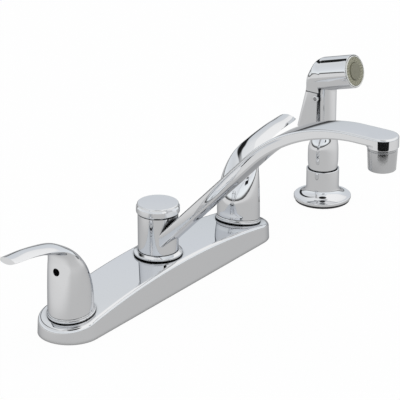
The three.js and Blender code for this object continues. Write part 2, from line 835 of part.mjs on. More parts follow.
// The flap inside the post that sends water to the side spray.
function makeDiverter() {
  const skirtRadius = postBore - gap;
  const bottom = waterRoomTop;
  return revolved([
    [0, bottom],
    [skirtRadius, bottom],
    [skirtRadius, bottom + diverterSkirt],
    [diverterStem, bottom + diverterSkirt],
    [diverterStem, bottom + diverterHeight],
    [0, bottom + diverterHeight],
  ], smallSides);
}

// ---------------------------------------------------------------------------------------------
// Spout
// ---------------------------------------------------------------------------------------------

// The middle line of the blade: distance in front of the hub, height and rise angle.
function spoutLine(startDistance, endDistance, lineSteps, arcSteps, levelSteps) {
  const rise = THREE.MathUtils.degToRad(spoutRise);
  const arcStart = spoutArcEnd - spoutArcRadius * Math.sin(rise);
  const arcBase = spoutLevel - spoutArcRadius;
  const arcStartHeight = arcBase + spoutArcRadius * Math.cos(rise);
  const line = [];
  for (let i = 0; i < lineSteps; i += 1) {
    const distance = startDistance + ((arcStart - startDistance) * i) / lineSteps;
    const height = arcStartHeight - (arcStart - distance) * Math.tan(rise);
    line.push({ distance, height, angle: rise });
  }
  for (let i = 0; i < arcSteps; i += 1) {
    const angle = rise * (1 - i / arcSteps);
    line.push({
      distance: spoutArcEnd - spoutArcRadius * Math.sin(angle),
      height: arcBase + spoutArcRadius * Math.cos(angle),
      angle,
    });
  }
  for (let i = 0; i <= levelSteps; i += 1) {
    const distance = spoutArcEnd + ((endDistance - spoutArcEnd) * i) / levelSteps;
    line.push({ distance, height: spoutLevel, angle: 0 });
  }
  return line;
}

// A rectangle with round corners, as [across, up] points.
function roundedSection(halfWidth, halfHeight, radius) {
  const cornerSteps = 2;
  const section = [];
  const centres = [[1, 1], [-1, 1], [-1, -1], [1, -1]];
  centres.forEach(([sx, sz], quarter) => {
    for (let i = 0; i <= cornerSteps; i += 1) {
      const angle = (quarter + i / cornerSteps) * (Math.PI / 2);
      section.push([
        sx * (halfWidth - radius) + radius * Math.cos(angle),
        sz * (halfHeight - radius) + radius * Math.sin(angle),
      ]);
    }
  });
  return section;
}

function sweepAlong(line, sectionAt) {
  return solid(loft(line.map((point) => sectionAt(point).map(([across, up]) => new THREE.Vector3(
    across,
    -(point.distance - up * Math.sin(point.angle)),
    point.height + up * Math.cos(point.angle),
  )))));
}

function makeSpout() {
  const sleeve = solid(cylinderZ(hubRadius, hubBottom, hubTop, largeSides));
  const bladeLine = spoutLine(8, spoutReach, 4, 12, 2);
  const thinStart = 0.6 * spoutReach;
  const blade = sweepAlong(bladeLine, ({ distance }) => {
    const part = THREE.MathUtils.clamp((distance - thinStart) / (spoutArcEnd - thinStart), 0, 1);
    const halfHeight = THREE.MathUtils.lerp(bladeHalfThickness, bladeTipHalfThickness, part);
    const halfWidth = THREE.MathUtils.lerp(bladeHalfWidth, headRadius, part ** 3);
    return roundedSection(halfWidth, halfHeight, bladeCornerRadius);
  });
  const head = solid(revolved([
    [0, headBottom],
    [headRadius - 0.3, headBottom],
    [headRadius, headBottom + 0.3],
    [headRadius, headTop - bladeCornerRadius],
    [headRadius - 0.3 * bladeCornerRadius, headTop - 0.3 * bladeCornerRadius],
    [headRadius - bladeCornerRadius, headTop],
    [0, headTop],
  ], largeSides).translate(0, -spoutReach, 0));
  const channelLine = spoutLine(8, spoutReach, 4, 12, 2);
  const channelSides = 8;
  const channel = sweepAlong(channelLine, () => Array.from({ length: channelSides }, (_, i) => {
    const angle = (i / channelSides) * 2 * Math.PI;
    return [channelHalfWidth * Math.cos(angle), channelHalfHeight * Math.sin(angle)];
  }));
  const neckBore = cylinderZ(
    aeratorNeckRadius + gap, headBottom - overshoot, headBottom + aeratorNeckHeight + gap);
  return cut(
    join(sleeve, blade, head),
    solid(cylinderZ(hubBore, hubBottom - overshoot, hubTop + overshoot, largeSides)),
    solid(cylinderZ(waterRoomRadius, waterRoomBottom, waterRoomTop)),
    channel,
    solid(neckBore.translate(0, -spoutReach, 0)),
  );
}

// ---------------------------------------------------------------------------------------------
// Aerator, in a group on the spout's head
// ---------------------------------------------------------------------------------------------

const washerGap = 1.2;
const screenSeat = aeratorBottom + 2.2;

function makeAeratorShell() {
  const neckTop = aeratorTop + aeratorNeckHeight - washerGap;
  return revolvedRing([
    [aeratorBore, aeratorBottom],
    [aeratorBottomRadius - 0.4, aeratorBottom],
    [aeratorBottomRadius, aeratorBottom + 0.5],
    [aeratorTopRadius, aeratorTop - 1.8],
    [aeratorTopRadius - 0.5, aeratorTop - 1.4],
    [aeratorTopRadius - 0.5, aeratorTop - 0.8],
    [aeratorTopRadius, aeratorTop - 0.5],
    [aeratorTopRadius - 0.2, aeratorTop],
    [aeratorNeckRadius, aeratorTop],
    [aeratorNeckRadius, neckTop],
    [aeratorBore, neckTop],
  ], largeSides);
}

const aeratorGroup = new THREE.Group();
aeratorGroup.position.y = -spoutReach;
faucet.add(aeratorGroup);
const aeratorScreen = cylinderZ(aeratorBore - gap, screenSeat, screenSeat + screenThickness, smallSides);
const washerBottom = aeratorTop + aeratorNeckHeight - washerGap + gap;
const aeratorWasher = tubeZ(
  aeratorNeckRadius, aeratorBore - 1.4, washerBottom, headBottom + aeratorNeckHeight, smallSides);

place('spout_post', makeSpoutPost(), 'brass');
for (const [level, height] of [['lower', ringHeights[0]], ['upper', ringHeights[1]]]) {
  place(`spout_o_ring_${level}`, roundRing(postRadius - ringCord, ringCord, height), 'rubber');
}
place('spout_base_ring', makeHubRing(), 'chrome');
place('spout', makeSpout(), 'chrome');
place('spout_cap', makeSpoutCap(), 'chrome');
place('diverter', makeDiverter(), 'blackPlastic');
place('spray_outlet', tubeZ(outletRadius, outletBore, -outletLength, bodyBottom - gap), 'brass');
place('aerator_shell', makeAeratorShell(), 'chrome', aeratorGroup);
place('aerator_screen', aeratorScreen, 'steel', aeratorGroup);
place('aerator_washer', aeratorWasher, 'rubber', aeratorGroup);

// ---------------------------------------------------------------------------------------------
// Side spray's holder
// ---------------------------------------------------------------------------------------------

function makeSprayHolder() {
  const base = holderGasketThickness + gap;
  const edge = base + holderFlangeEdge;
  const flareTop = edge + holderFlareHeight;
  const shelf = holderFlangeRadius - holderEdge;
  const flare = Array.from({ length: 6 }, (_, i) => {
    const angle = (i / 5) * (Math.PI / 2);
    return [
      shelf - (shelf - holderRadius) * Math.sin(angle),
      flareTop - holderFlareHeight * Math.cos(angle),
    ];
  });
  return revolvedRing([
    [hoseBore, -holderShankLength],
    [holderShankRadius, -holderShankLength],
    [holderShankRadius, base],
    [shelf, base],
    [holderFlangeRadius, base + holderEdge],
    [holderFlangeRadius, edge - holderEdge],
    ...flare,
    [holderRadius, holderTop - holderEdge],
    [holderRadius - holderEdge, holderTop],
    [holderBore + holderEdge / 2, holderTop],
    [holderBore, holderTop - holderEdge / 2],
    [holderBore, cupFloor],
    [hoseBore, cupFloor - 2 * holderEdge],
  ], largeSides);
}

function makeHolderNut() {
  const top = -deckThickness - gap;
  const bottom = top - holderNutHeight;
  const lugs = [0, 60, 120].map((degrees) => solid(
    new THREE.BoxGeometry(2 * holderNutRadius, wingWidth, holderNutHeight * 0.8)
      .translate(0, 0, top - holderNutHeight * 0.4)
      .rotateZ(THREE.MathUtils.degToRad(degrees))));
  return cut(
    join(solid(cylinderZ(holderNutRadius * 0.85, bottom, top)), ...lugs),
    solid(cylinderZ(holderShankRadius + gap, bottom - overshoot, top + overshoot)),
  );
}

// ---------------------------------------------------------------------------------------------
// Side spray
// ---------------------------------------------------------------------------------------------

function alongBarrel(geometry) {
  return geometry
    .rotateX(Math.PI / 2 - nozzleLean)
    .translate(0, -nozzleReach, nozzleHeight);
}

function ellipseRing(halfX, halfY, shiftY, z, count = mediumSides) {
  return Array.from({ length: count }, (_, i) => {
    const angle = (i / count) * 2 * Math.PI;
    return new THREE.Vector3(halfX * Math.cos(angle), shiftY + halfY * Math.sin(angle), z);
  });
}

// Height of the barrel's axis at a distance behind the spray's axis.
const barrelAxisAt = (y) => nozzleHeight - (nozzleReach + y) * Math.tan(nozzleLean);

// The elbow's outline from behind the shoulder up its back and over the corner to the barrel.
function elbowOutline() {
  const crown = (y) => barrelAxisAt(y) + barrelRadius / Math.cos(nozzleLean);
  const shoulder = new THREE.Vector2(triggerBackTop, shoulderZ);
  const corner = new THREE.Vector2(elbowCorner, crown(elbowCorner));
  const toBack = shoulder.clone().sub(corner).setLength(elbowRound);
  const bendStart = corner.clone().add(toBack);
  const barrelTop = new THREE.Vector2(elbowFront, crown(elbowFront));
  const back = new THREE.LineCurve(shoulder, bendStart).getPoints(8);
  const bend = new THREE.QuadraticBezierCurve(bendStart, corner, barrelTop).getPoints(6);
  return [...back, ...bend.slice(1)];
}

// Half width of the elbow: round like the barrel above its axis, down to the trigger's below it.
function elbowHalfWidth(y, z) {
  const axis = barrelAxisAt(y);
  const above = (z - axis) * Math.cos(nozzleLean);
  if (above > 0) {
    return Math.sqrt(Math.max(barrelRadius ** 2 - above ** 2, 1));
  }
  const part = (axis - z) / (axis - shoulderZ);
  return barrelRadius + (triggerHalfWidth - barrelRadius) * part ** 2 * (3 - 2 * part);
}

// Level rings of the elbow: straight sides, two round corners behind and a bevelled front edge.
function elbowRings() {
  const sideSteps = 3;
  const cornerSteps = 4;
  return elbowOutline().map(({ x: back, y: z }) => {
    const depth = Math.max(back - elbowFront, elbowEdge);
    const radius = Math.min(triggerCornerRadius, depth / 2, elbowHalfWidth(back, z) / 2);
    const half = [[elbowHalfWidth(elbowFront, z) - elbowEdge, elbowFront - elbowEdge]];
    for (let i = 0; i <= sideSteps; i += 1) {
      const y = elbowFront + ((depth - radius) * i) / sideSteps;
      half.push([elbowHalfWidth(y, z), y]);
    }
    const [side, sideEnd] = half.at(-1);
    for (let i = 1; i <= cornerSteps; i += 1) {
      const angle = (i / cornerSteps) * (Math.PI / 2);
      half.push([side - radius * (1 - Math.cos(angle)), sideEnd + radius * Math.sin(angle)]);
    }
    const mirrored = half.map(([x, y]) => [-x, y]).reverse();
    return [...half, ...mirrored].map(([x, y]) => new THREE.Vector3(x, y, z));
  });
}

function makeSprayBody() {
  const shoulder = holderTop + gap;
  const tailBottom = cupFloor + tailLift;
  const grip = sprayGripRadius;
  const taper = neckBottom - sprayGripTop;
  const neckTop = nozzleHeight - barrelRadius / 2;
  const column = solid(loft([
    ellipseRing(tailRadius - tailChamfer, tailRadius - tailChamfer, 0, tailBottom),
    ellipseRing(tailRadius, tailRadius, 0, tailBottom + 2 * tailChamfer),
    ellipseRing(tailRadius, tailRadius, 0, shoulder),
    ellipseRing(grip * 0.95, grip * 0.95, 0, shoulder),
    ellipseRing(grip * 0.975, grip * 0.975, 0, shoulder + 0.4 * gripSwell),
    ellipseRing(grip, grip, 0, shoulder + gripSwell),
    ellipseRing(grip, grip, 0, sprayGripTop - gripSwell * 0.7),
    ellipseRing(grip * 0.98, grip * 0.98, -0.1, sprayGripTop),
    ellipseRing(grip * 0.88, grip * 0.88, neckShift * 0.3, sprayGripTop + taper / 3),
    ellipseRing(grip * 0.7, grip * 0.72, neckShift * 0.75, neckBottom - taper / 3),
    ellipseRing(neckHalfWidth, neckHalfDepth, neckShift, neckBottom),
    ellipseRing(neckHalfWidth, neckHalfDepth, neckShift, neckTop),
  ]));
  const barrel = solid(alongBarrel(cylinderZ(barrelRadius, -2 * nozzleReach, 0, largeSides)))
    .trimByPlane([0, -1, 0], -elbowFront - gap);
  const recess = solid(alongBarrel(cylinderZ(faceRecessRadius, -faceRecessDepth, overshoot)));
  const chamber = solid(alongBarrel(cylinderZ(faceRingInner, -2.6 * faceRecessDepth, 0)));
  const boreY = neckShift - 2 * sprayBore / 3;
  const boreTop = nozzleHeight - 2 * sprayBore;
  const waterway = solid(
    cylinderZ(sprayBore, nippleTop - overshoot, boreTop, smallSides).translate(0, boreY, 0));
  const inlet = solid(cylinderZ(nippleRadius + gap, cupFloor, nippleTop + gap, smallSides));
  const pinHole = solid(
    cylinderX(pinRadius + gap, -neckHalfWidth - overshoot, neckHalfWidth + overshoot, pinY, pinZ));
  const plungerHole = solid(cylinderY(plungerRadius + gap, boreY, neckHalfDepth, 0, plungerZ));
  const outside = join(column, barrel, solid(loft(elbowRings())));
  return cut(outside, recess, chamber, waterway, inlet, pinHole, plungerHole);
}

// Cross-section of the trigger: a channel whose open side faces the neck.
function triggerRing(halfWidth, back, front, radius, z) {
  const cornerSteps = 4;
  const ring = [];
  for (const sign of [1, -1]) {
    for (let i = 0; i <= cornerSteps; i += 1) {
      const part = sign > 0 ? i / cornerSteps : 1 - i / cornerSteps;
      const angle = part * (Math.PI / 2);
      ring.push(new THREE.Vector3(
        sign * (halfWidth - radius + radius * Math.cos(angle)),
        back - radius + radius * Math.sin(angle),
        z,
      ));
    }
  }
  ring.push(new THREE.Vector3(-halfWidth, front, z), new THREE.Vector3(halfWidth, front, z));
  return ring;
}

// How far the trigger's back stands behind the spray's axis at a height.
function triggerBackAt(z) {
  const part = (triggerTop - z) / (triggerTop - triggerBottom);
  return triggerBackTop + (triggerBackBottom - triggerBackTop) * part;
}

function triggerSkin(inset, front, reach) {
  const rings = [triggerTop + reach, triggerBottom - reach].map((z) => {
    const part = (triggerTop - z) / (triggerTop - triggerBottom);
    const halfWidth = triggerHalfWidth + triggerFlare * part - inset;
    const radius = triggerCornerRadius - inset;
    return triggerRing(halfWidth, triggerBackAt(z) - inset, front, radius, z);
  });
  return solid(loft(rings));
}

const pinReach = triggerHalfWidth + pinEarStand;
function makeTrigger() {
  const earFrom = triggerHalfWidth - triggerWall;
  const ears = [[earFrom, pinReach], [-pinReach, -earFrom]].map(([from, to]) =>
    solid(cylinderX(pinEarRadius, from, to, pinY, pinZ, mediumSides)));
  const channel = cut(
    triggerSkin(0, triggerFront, 0),
    triggerSkin(triggerWall, triggerFront - barrelRadius, overshoot),
  );
  const hole = cylinderX(pinRadius + gap, -pinReach - overshoot, pinReach + overshoot, pinY, pinZ);
  return cut(join(channel, ...ears), solid(hole));
}

const plungerEnd = triggerBackAt(plungerZ + plungerHeadRadius) - triggerWall - gap;

function makePlunger() {
  const from = neckShift - 1;
  const to = plungerEnd;
  return join(
    solid(cylinderY(plungerRadius, from, to, 0, plungerZ)),
    solid(cylinderY(plungerHeadRadius, to - plungerHeadThickness, to, 0, plungerZ)),
  );
}

function makePlungerSpring() {
  const neckBack = neckShift + neckHalfDepth;
  const to = plungerEnd - plungerHeadThickness - gap;
  return coilSpring(plungerHeadRadius - 2 * springWire, springWire, neckBack + gap, to, 5)
    .rotateX(-Math.PI / 2)
    .translate(0, 0, plungerZ);
}

const bezelOuter = faceRecessRadius - gap;
const faceBack = gap - faceRecessDepth;
const bezelInner = bezelOuter - bezelWidth;
const nipple = tubeZ(nippleRadius, nippleBore, -nippleTail, nippleTop, smallSides);
const gasketShape = tubeZ(
  holderFlangeRadius - 2 * holderEdge, holderShankRadius + gap, 0, holderGasketThickness, largeSides);

place('spray_holder', makeSprayHolder(), 'chrome', sprayGroup);
place('spray_holder_gasket', gasketShape, 'rubber', sprayGroup);
place('spray_holder_nut', makeHolderNut(), 'blackPlastic', sprayGroup);
place('spray_body', makeSprayBody(), 'chrome', sprayGroup);
place('spray_hose_nipple', nipple, 'brass', sprayGroup);
place('trigger_pin', cylinderX(pinRadius, -pinReach, pinReach, pinY, pinZ), 'steel', sprayGroup);
place('spray_trigger', makeTrigger(), 'chrome', sprayGroup);
place('spray_plunger', makePlunger(), 'whitePlastic', sprayGroup);
place('plunger_spring', makePlungerSpring(), 'steel', sprayGroup);
const bezel = tubeZ(bezelOuter, bezelInner, faceBack, bezelStand);
const faceRing = tubeZ(bezelInner - gap, faceRingInner, faceBack, faceStand);
const centreRadius = faceRingInner - gap;
const faceCentre = revolved([
  [0, faceBack],
  [centreRadius, faceBack],
  [centreRadius, centreStand - faceStand],
  [centreRadius - faceStand, centreStand],
  [0, centreStand],
], mediumSides);
place('spray_bezel', bezel, 'whitePlastic', barrelGroup);
place('spray_face', faceRing, 'greyRubber', barrelGroup);
place('spray_centre', faceCentre, 'greyPlastic', barrelGroup);

export default faucet;
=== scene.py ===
"""Two handle kitchen faucet with a side spray: fine pieces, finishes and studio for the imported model.

Shapes are worked out in millimetres with +Z up, as in the part, and written to meshes in metres.
"""

import json
import math

import bmesh
import bpy
from bpy.props import FloatProperty, FloatVectorProperty, IntProperty, PointerProperty
from mathutils import Matrix, Vector


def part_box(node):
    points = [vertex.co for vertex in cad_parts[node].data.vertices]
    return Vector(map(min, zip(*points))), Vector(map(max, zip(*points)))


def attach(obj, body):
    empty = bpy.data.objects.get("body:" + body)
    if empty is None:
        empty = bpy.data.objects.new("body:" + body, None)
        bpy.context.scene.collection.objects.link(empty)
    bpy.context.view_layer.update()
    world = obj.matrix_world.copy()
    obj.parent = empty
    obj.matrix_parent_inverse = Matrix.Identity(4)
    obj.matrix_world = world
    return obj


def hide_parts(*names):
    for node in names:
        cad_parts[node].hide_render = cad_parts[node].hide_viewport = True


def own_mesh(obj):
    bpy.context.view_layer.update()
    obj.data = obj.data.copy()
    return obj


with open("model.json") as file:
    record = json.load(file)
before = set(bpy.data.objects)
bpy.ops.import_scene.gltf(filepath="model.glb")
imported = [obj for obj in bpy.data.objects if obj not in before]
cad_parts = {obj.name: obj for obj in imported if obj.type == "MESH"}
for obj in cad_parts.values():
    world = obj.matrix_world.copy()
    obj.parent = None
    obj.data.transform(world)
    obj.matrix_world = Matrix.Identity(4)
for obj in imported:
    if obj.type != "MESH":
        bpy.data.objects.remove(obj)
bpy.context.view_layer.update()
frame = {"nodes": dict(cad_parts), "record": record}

bl_info = {
    "name": "Two Handle Kitchen Faucet",
    "version": (1, 0, 0),
    "blender": (4, 5, 0),
    "location": "View3D > Sidebar > Faucet",
    "description": "Builds a kitchen faucet with two lever handles and a side spray",
    "category": "Add Mesh",
}

METRE = 1000.0
GAP = 0.3  # clearance between pieces that rest on or sit in each other
SIDES = {"left": -1, "right": 1}

# Sizes in millimetres that several pieces share.
BOSS_RADIUS = 10.4  # valve shank through the plate
BROACH_RADIUS = 3.4  # stem's end in the handle
POST_RADIUS = 10.8  # post that the spout turns on
HUB_BORE = 11.2  # spout's sleeve round the post
HUB_BOTTOM, HUB_TOP, CAP_TOP = 26.7, 54.6, 62.6  # heights
HEAD_DEPTH = 8.2  # spout's round end
TRIGGER_HALF, TRIGGER_BACK, TRIGGER_WALL, TRIGGER_CORNER = 9, 13.3, 1.4, 4
ELBOW_FRONT, ELBOW_CORNER = 0.9, 6.2  # behind the spray's axis
ELBOW_BEND = 5.5  # how far the elbow's corner is rounded down its back
ELBOW_PIVOT = 0.29  # where the elbow's rings fan from, as a share of the barrel's radius
ELBOW_FAN = 55  # degrees over which the rings turn square
SHOULDER_DROP = 21.3  # from the nozzle's middle down to the elbow's lower end
BARREL_BEND = 24  # behind the nozzle's face, where the barrel starts to bend
PIN_RADIUS, PIN_Y, PIN_Z = 1.4, 2.6, 86
NECK_X, NECK_Y, NECK_SHIFT = 7.2, 7.4, -2.6  # spray's neck under the barrel
SHANK_RADIUS, SHANK_DEPTH = 12.6, 34  # spray holder below the deck


# ---- Sizes and colours that a user would change ----


def length(name, description, default):
    """A length in metres, shown in the scene's units."""
    return FloatProperty(name=name, description=description, default=default, min=0.0, unit="LENGTH")


def degrees(name, description, default):
    """An angle, written in degrees and kept in radians."""
    return FloatProperty(
        name=name, description=description, default=math.radians(default), subtype="ANGLE"
    )


def colour(name, description, default):
    """A colour in linear light."""
    return FloatVectorProperty(
        name=name, description=description, default=default, subtype="COLOR", min=0.0, max=1.0
    )


def share(name, description, default):
    """A share from 0 to 1."""
    return FloatProperty(
        name=name, description=description, default=default, min=0.0, max=1.0, subtype="FACTOR"
    )


class PlateSettings(bpy.types.PropertyGroup):
    """The arched plate that stands on the sink."""

    spacing: length("Hole Spacing", "Distance from the hub to each handle", 0.1016)
    half_width: length("Half Width", "Half of the plate's depth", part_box("deck_plate")[1].y)
    crest: length("Crest", "Height of the arch under the hub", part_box("deck_plate")[1].z)
    end_shift: length("End Shift", "How far the round ends lie outside the handles", 0.0016)
    arch: length("Arch Radius", "Radius of the plate's arched top", 0.640)
    edge: length("Edge Radius", "Rounding between the top and the walls", 0.003)
    draft: length("Draft", "How far the walls lean in", 0.0004)
    wall: length("Wall", "Thickness of the plate's sheet", 0.002)


class HandleSettings(bpy.types.PropertyGroup):
    """The lever handles and the rings under them."""

    radius: length("Base Radius", "Radius of the hood's lower rim", 0.0164)
    hood: length("Hood Height", "Height at which the lever starts", 0.056)
    reach: length("Lever Reach", "Turning axis to the lever's tip", 0.057)
    tip: length("Tip Height", "Height of the lever's tip above the rim", 0.067)
    half: length("Lever Half Width", "Half of the lever's width", 0.008)
    thickness: length("Tip Thickness", "Thickness of the lever's tip", 0.0046)
    wall: length("Wall", "Thickness of the hood's shell", 0.0017)
    trim_radius: length("Ring Radius", "Radius of the ring under the handle", 0.0174)
    trim_height: length("Ring Height", "Height of the ring under the handle", 0.0028)
    screw_height: length("Screw Height", "Height of the set screw", 0.0374)


class SpoutSettings(bpy.types.PropertyGroup):
    """The hub, the spout's blade and its aerator."""

    hub: length("Hub Radius", "Radius of the turning sleeve", 0.0148)
    cap_radius: length("Cap Radius", "Radius of the cap nut", 0.0159)
    reach: length("Reach", "Hub axis to aerator axis", 0.187)
    rise: degrees("Rise", "Slope at which the blade leaves the hub", 46)
    arc: length("Arc Radius", "Radius of the blade's bend", 0.1156)
    arc_end: length("Arc End", "Distance at which the bend comes level", 0.170)
    level: length("Level", "Height of the blade's middle at its level end", 0.1532)
    half_width: length("Half Width", "Half of the blade's width", 0.0115)
    half_thickness: length("Half Thickness", "Half of the blade's thickness", 0.0042)
    tip_half: length("Tip Half Thickness", "The same at the tip", 0.0032)
    corner: length("Corner Radius", "Rounding of the blade's edges", 0.0016)
    head: length("Head Radius", "Radius of the round end", 0.011)


class SpraySettings(bpy.types.PropertyGroup):
    """The side spray and the holder that it stands in."""

    x: length("Across", "Distance from the hub along the sink", 0.2032)
    forward: length("Forward", "Distance in front of the plate's middle line", 0.0107)
    flange: length("Flange Radius", "Radius of the holder's flange", 0.0226)
    collar: length("Collar Radius", "Radius of the holder's collar", 0.0129)
    collar_top: length("Collar Top", "Height of the holder's collar", 0.0267)
    grip: length("Grip Radius", "Radius of the spray's lower grip", 0.012)
    tilt: degrees("Nozzle Tilt", "How far the nozzle points above level", 15.5)
    reach: length("Nozzle Reach", "Nozzle face in front of the axis", 0.027)
    height: length("Nozzle Height", "Height of the nozzle's middle", 0.1123)
    barrel: length("Barrel Radius", "Radius of the spray's head", 0.013)
    jets: IntProperty(name="Jets", description="Jets on the face's inner ring", default=20, min=4)


class FinishSettings(bpy.types.PropertyGroup):
    """Colours of the finishes."""

    chrome: colour("Chrome", "Mirror chrome plate", (0.86, 0.865, 0.875))
    chrome_roughness: share("Chrome Roughness", "Roughness of clean chrome", 0.035)
    brass: colour("Brass", "Machined brass", (0.62, 0.46, 0.21))
    copper: colour("Copper", "Drawn copper tube", (0.66, 0.34, 0.20))
    steel: colour("Steel", "Plain stainless steel", (0.50, 0.50, 0.51))
    rubber: colour("Rubber", "Black rubber", (0.018, 0.018, 0.019))
    dark_plastic: colour("Dark Plastic", "Nuts and gasket", (0.03, 0.03, 0.033))
    white_plastic: colour("White Plastic", "Bezel and cartridges", (0.80, 0.80, 0.77))
    face_rubber: colour("Face Rubber", "Soft ring of the spray face", (0.35, 0.34, 0.255))
    face_plastic: colour("Face Plastic", "Middle of the spray face", (0.22, 0.213, 0.155))


class StudioSettings(bpy.types.PropertyGroup):
    """The studio round the faucet."""

    sky: share("Sky", "Brightness of the white panels above", 0.97)
    side: share("Side", "Brightness of the studio at the sides", 0.62)
    gap: share("Gap", "Brightness of the dark gap between the panels", 0.02)
    table: share("Table", "Brightness of the table round the faucet, as it reflects", 0.545)
    camera_azimuth: degrees("Camera Azimuth", "Direction that the camera stands in", -54.33)
    lens: FloatProperty(name="Lens", description="Focal length in millimetres", default=216.15)


# ---- Mesh helpers, in millimetres ----


class Shape:
    """The sizes in a settings group: its lengths in millimetres, all else as it is."""

    def __init__(self, settings_name):
        settings = getattr(bpy.context.scene, settings_name)
        for field in type(settings).__annotations__:
            value = getattr(settings, field)
            if settings.bl_rna.properties[field].unit == "LENGTH":
                value *= METRE
            setattr(self, field, value)


def linked(name, data):
    """A new object in the scene."""
    obj = bpy.data.objects.new(name, data)
    bpy.context.scene.collection.objects.link(obj)
    return obj


def mesh_from(name, points, faces):
    """A new object holding the points, given in millimetres, and the faces."""
    mesh = bpy.data.meshes.new(name)
    mesh.from_pydata([tuple(c / METRE for c in p) for p in points], [], faces)
    obj = linked(name, mesh)
    work = bmesh.new()
    work.from_mesh(mesh)
    bmesh.ops.remove_doubles(work, verts=work.verts, dist=1e-7)
    bmesh.ops.recalc_face_normals(work, faces=work.faces)
    work.to_mesh(mesh)
    work.free()
    return obj


def circle(count):
    """Evenly spaced directions round a circle."""
    angles = [2 * math.pi * i / count for i in range(count)]
    return [(math.cos(angle), math.sin(angle)) for angle in angles]


def eased_share(part):
    """A share from 0 to 1 with a gentle start and end."""
    return part**2 * (3 - 2 * part)


def banded(rows, closed=False):
    """Faces that join each row of point numbers to the next, without repeated corners."""
    pairs = list(zip(rows, rows[1:]))
    if closed:
        pairs.append((rows[-1], rows[0]))
    faces = []
    for low, high in pairs:
        for i in range(len(low)):
            j = (i + 1) % len(low)
            corners = list(dict.fromkeys((low[i], low[j], high[j], high[i])))
            if len(corners) > 2:
                faces.append(corners)
    return faces


def numbered(rings):
    """The points of all rings in one list, and each ring's point numbers."""
    count = len(rings[0])
    points = [point for ring in rings for point in ring]
    return points, [range(k * count, (k + 1) * count) for k in range(len(rings))]


def filleted(corners, closed=False, steps=5):
    """An outline whose corners [x, y, radius] are replaced by arcs."""
    outline = []
    count = len(corners)
    for i, (x, y, *rest) in enumerate(corners):
        radius = rest[0] if rest else 0
        if radius == 0 or (not closed and i in (0, count - 1)):
            outline.append((x, y))
            continue
        here = Vector((x, y))
        before = (Vector(corners[i - 1][:2]) - here).normalized()
        after = (Vector(corners[(i + 1) % count][:2]) - here).normalized()
        half = before.angle(after) / 2
        if half > math.pi / 2 - 1e-3:
            outline.append((x, y))
            continue
        reach = radius / math.tan(half)
        centre = here + (before + after).normalized() * radius / math.sin(half)
        start = here + before * reach - centre
        sweep = start.angle_signed(here + after * reach - centre)
        for k in range(steps + 1):
            turned = start.copy()
            turned.rotate(Matrix.Rotation(-sweep * k / steps, 2))
            outline.append(tuple(centre + turned))
    return outline


def revolved(name, outline, sides=96, closed=False):
    """An outline of (radius, height) turned round Z, closed on itself or at the axis."""
    points, rows = [], []
    for radius, height in outline:
        if radius < 1e-6:
            rows.append([len(points)] * sides)
            points.append((0, 0, height))
            continue
        rows.append(range(len(points), len(points) + sides))
        points += [(radius * x, radius * y, height) for x, y in circle(sides)]
    return mesh_from(name, points, banded(rows, closed))


def lofted(name, rings):
    """Rings of points, each as long, skinned into a closed body with flat ends."""
    points, rows = numbered(rings)
    return mesh_from(name, points, [list(rows[0])[::-1], *banded(rows), list(rows[-1])])


def cylinder(name, radius, start, end, sides=64):
    """A plain cylinder between two points."""
    a, b = Vector(start), Vector(end)
    turn = (b - a).to_track_quat("Z", "Y")
    spokes = [turn @ Vector((radius * x, radius * y, 0)) for x, y in circle(sides)]
    return lofted(name, [[centre + spoke for spoke in spokes] for centre in (a, b)])


def moved(obj, matrix):
    """The object with its mesh moved by a matrix in millimetres."""
    metres = matrix.copy()
    metres.translation = metres.translation / METRE
    obj.data.transform(metres)
    return obj


def combined(obj, others, operation):
    """The object joined with or cut by the others, which are used up."""
    for other in others:
        step = obj.modifiers.new(operation.title(), "BOOLEAN")
        step.operation = operation
        step.solver = "EXACT"
        step.object = other
    bpy.context.view_layer.update()
    baked = bpy.data.meshes.new_from_object(obj.evaluated_get(bpy.context.evaluated_depsgraph_get()))
    obj.modifiers.clear()
    obj.data = baked
    for other in others:
        bpy.data.objects.remove(other)
    return obj


def joined(obj, *others):
    """The object with the others added."""
    return combined(obj, others, "UNION")


def carved(obj, *tools):
    """The object with the tools cut away."""
    return combined(obj, tools, "DIFFERENCE")


def shaded(mesh, sharp):
    """Smooth shading, with the edges above an angle in degrees left sharp."""
    mesh.polygons.foreach_set("use_smooth", [True] * len(mesh.polygons))
    mesh.set_sharp_from_angle(angle=math.radians(sharp))


def finished(obj, material, body, nodes):
    """Shades the piece, gives it its finish and has it stand for its CAD nodes."""
    mesh = obj.data
    mesh.materials.clear()
    mesh.materials.append(material)
    mesh.polygons.foreach_set("material_index", [0] * len(mesh.polygons))
    shaded(mesh, 32)
    mesh.update()
    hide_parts(*nodes)
    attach(obj, body)


def chromed(obj, body):
    """Finishes a chrome piece that stands for the CAD node in its name."""
    finished(obj, finish_for("chrome"), body, [obj.name.removeprefix("faucet_")])


# ---- Node trees ----


def kept(store, name, make, *values):
    """The data block with a name, made when it is first asked for."""
    blocks = getattr(bpy.data, store)
    return blocks[name] if name in blocks else make(name, *values)


def wired(tree, kind, *inputs, sockets=None, **settings):
    """A new node with its settings made, and its inputs set or linked in order or by name."""
    node = tree.nodes.new(kind)
    for name, value in settings.items():
        setattr(node, name, value)
    named = [(node.inputs[label], value) for label, value in (sockets or {}).items()]
    for socket, value in [*zip(node.inputs, inputs), *named]:
        if isinstance(value, bpy.types.NodeSocket):
            tree.links.new(value, socket)
        else:
            socket.default_value = value
    return node


def along(tree, point, axis):
    """How far a point or direction reaches along an axis."""
    return wired(tree, "ShaderNodeVectorMath", point, axis, operation="DOT_PRODUCT").outputs[1]


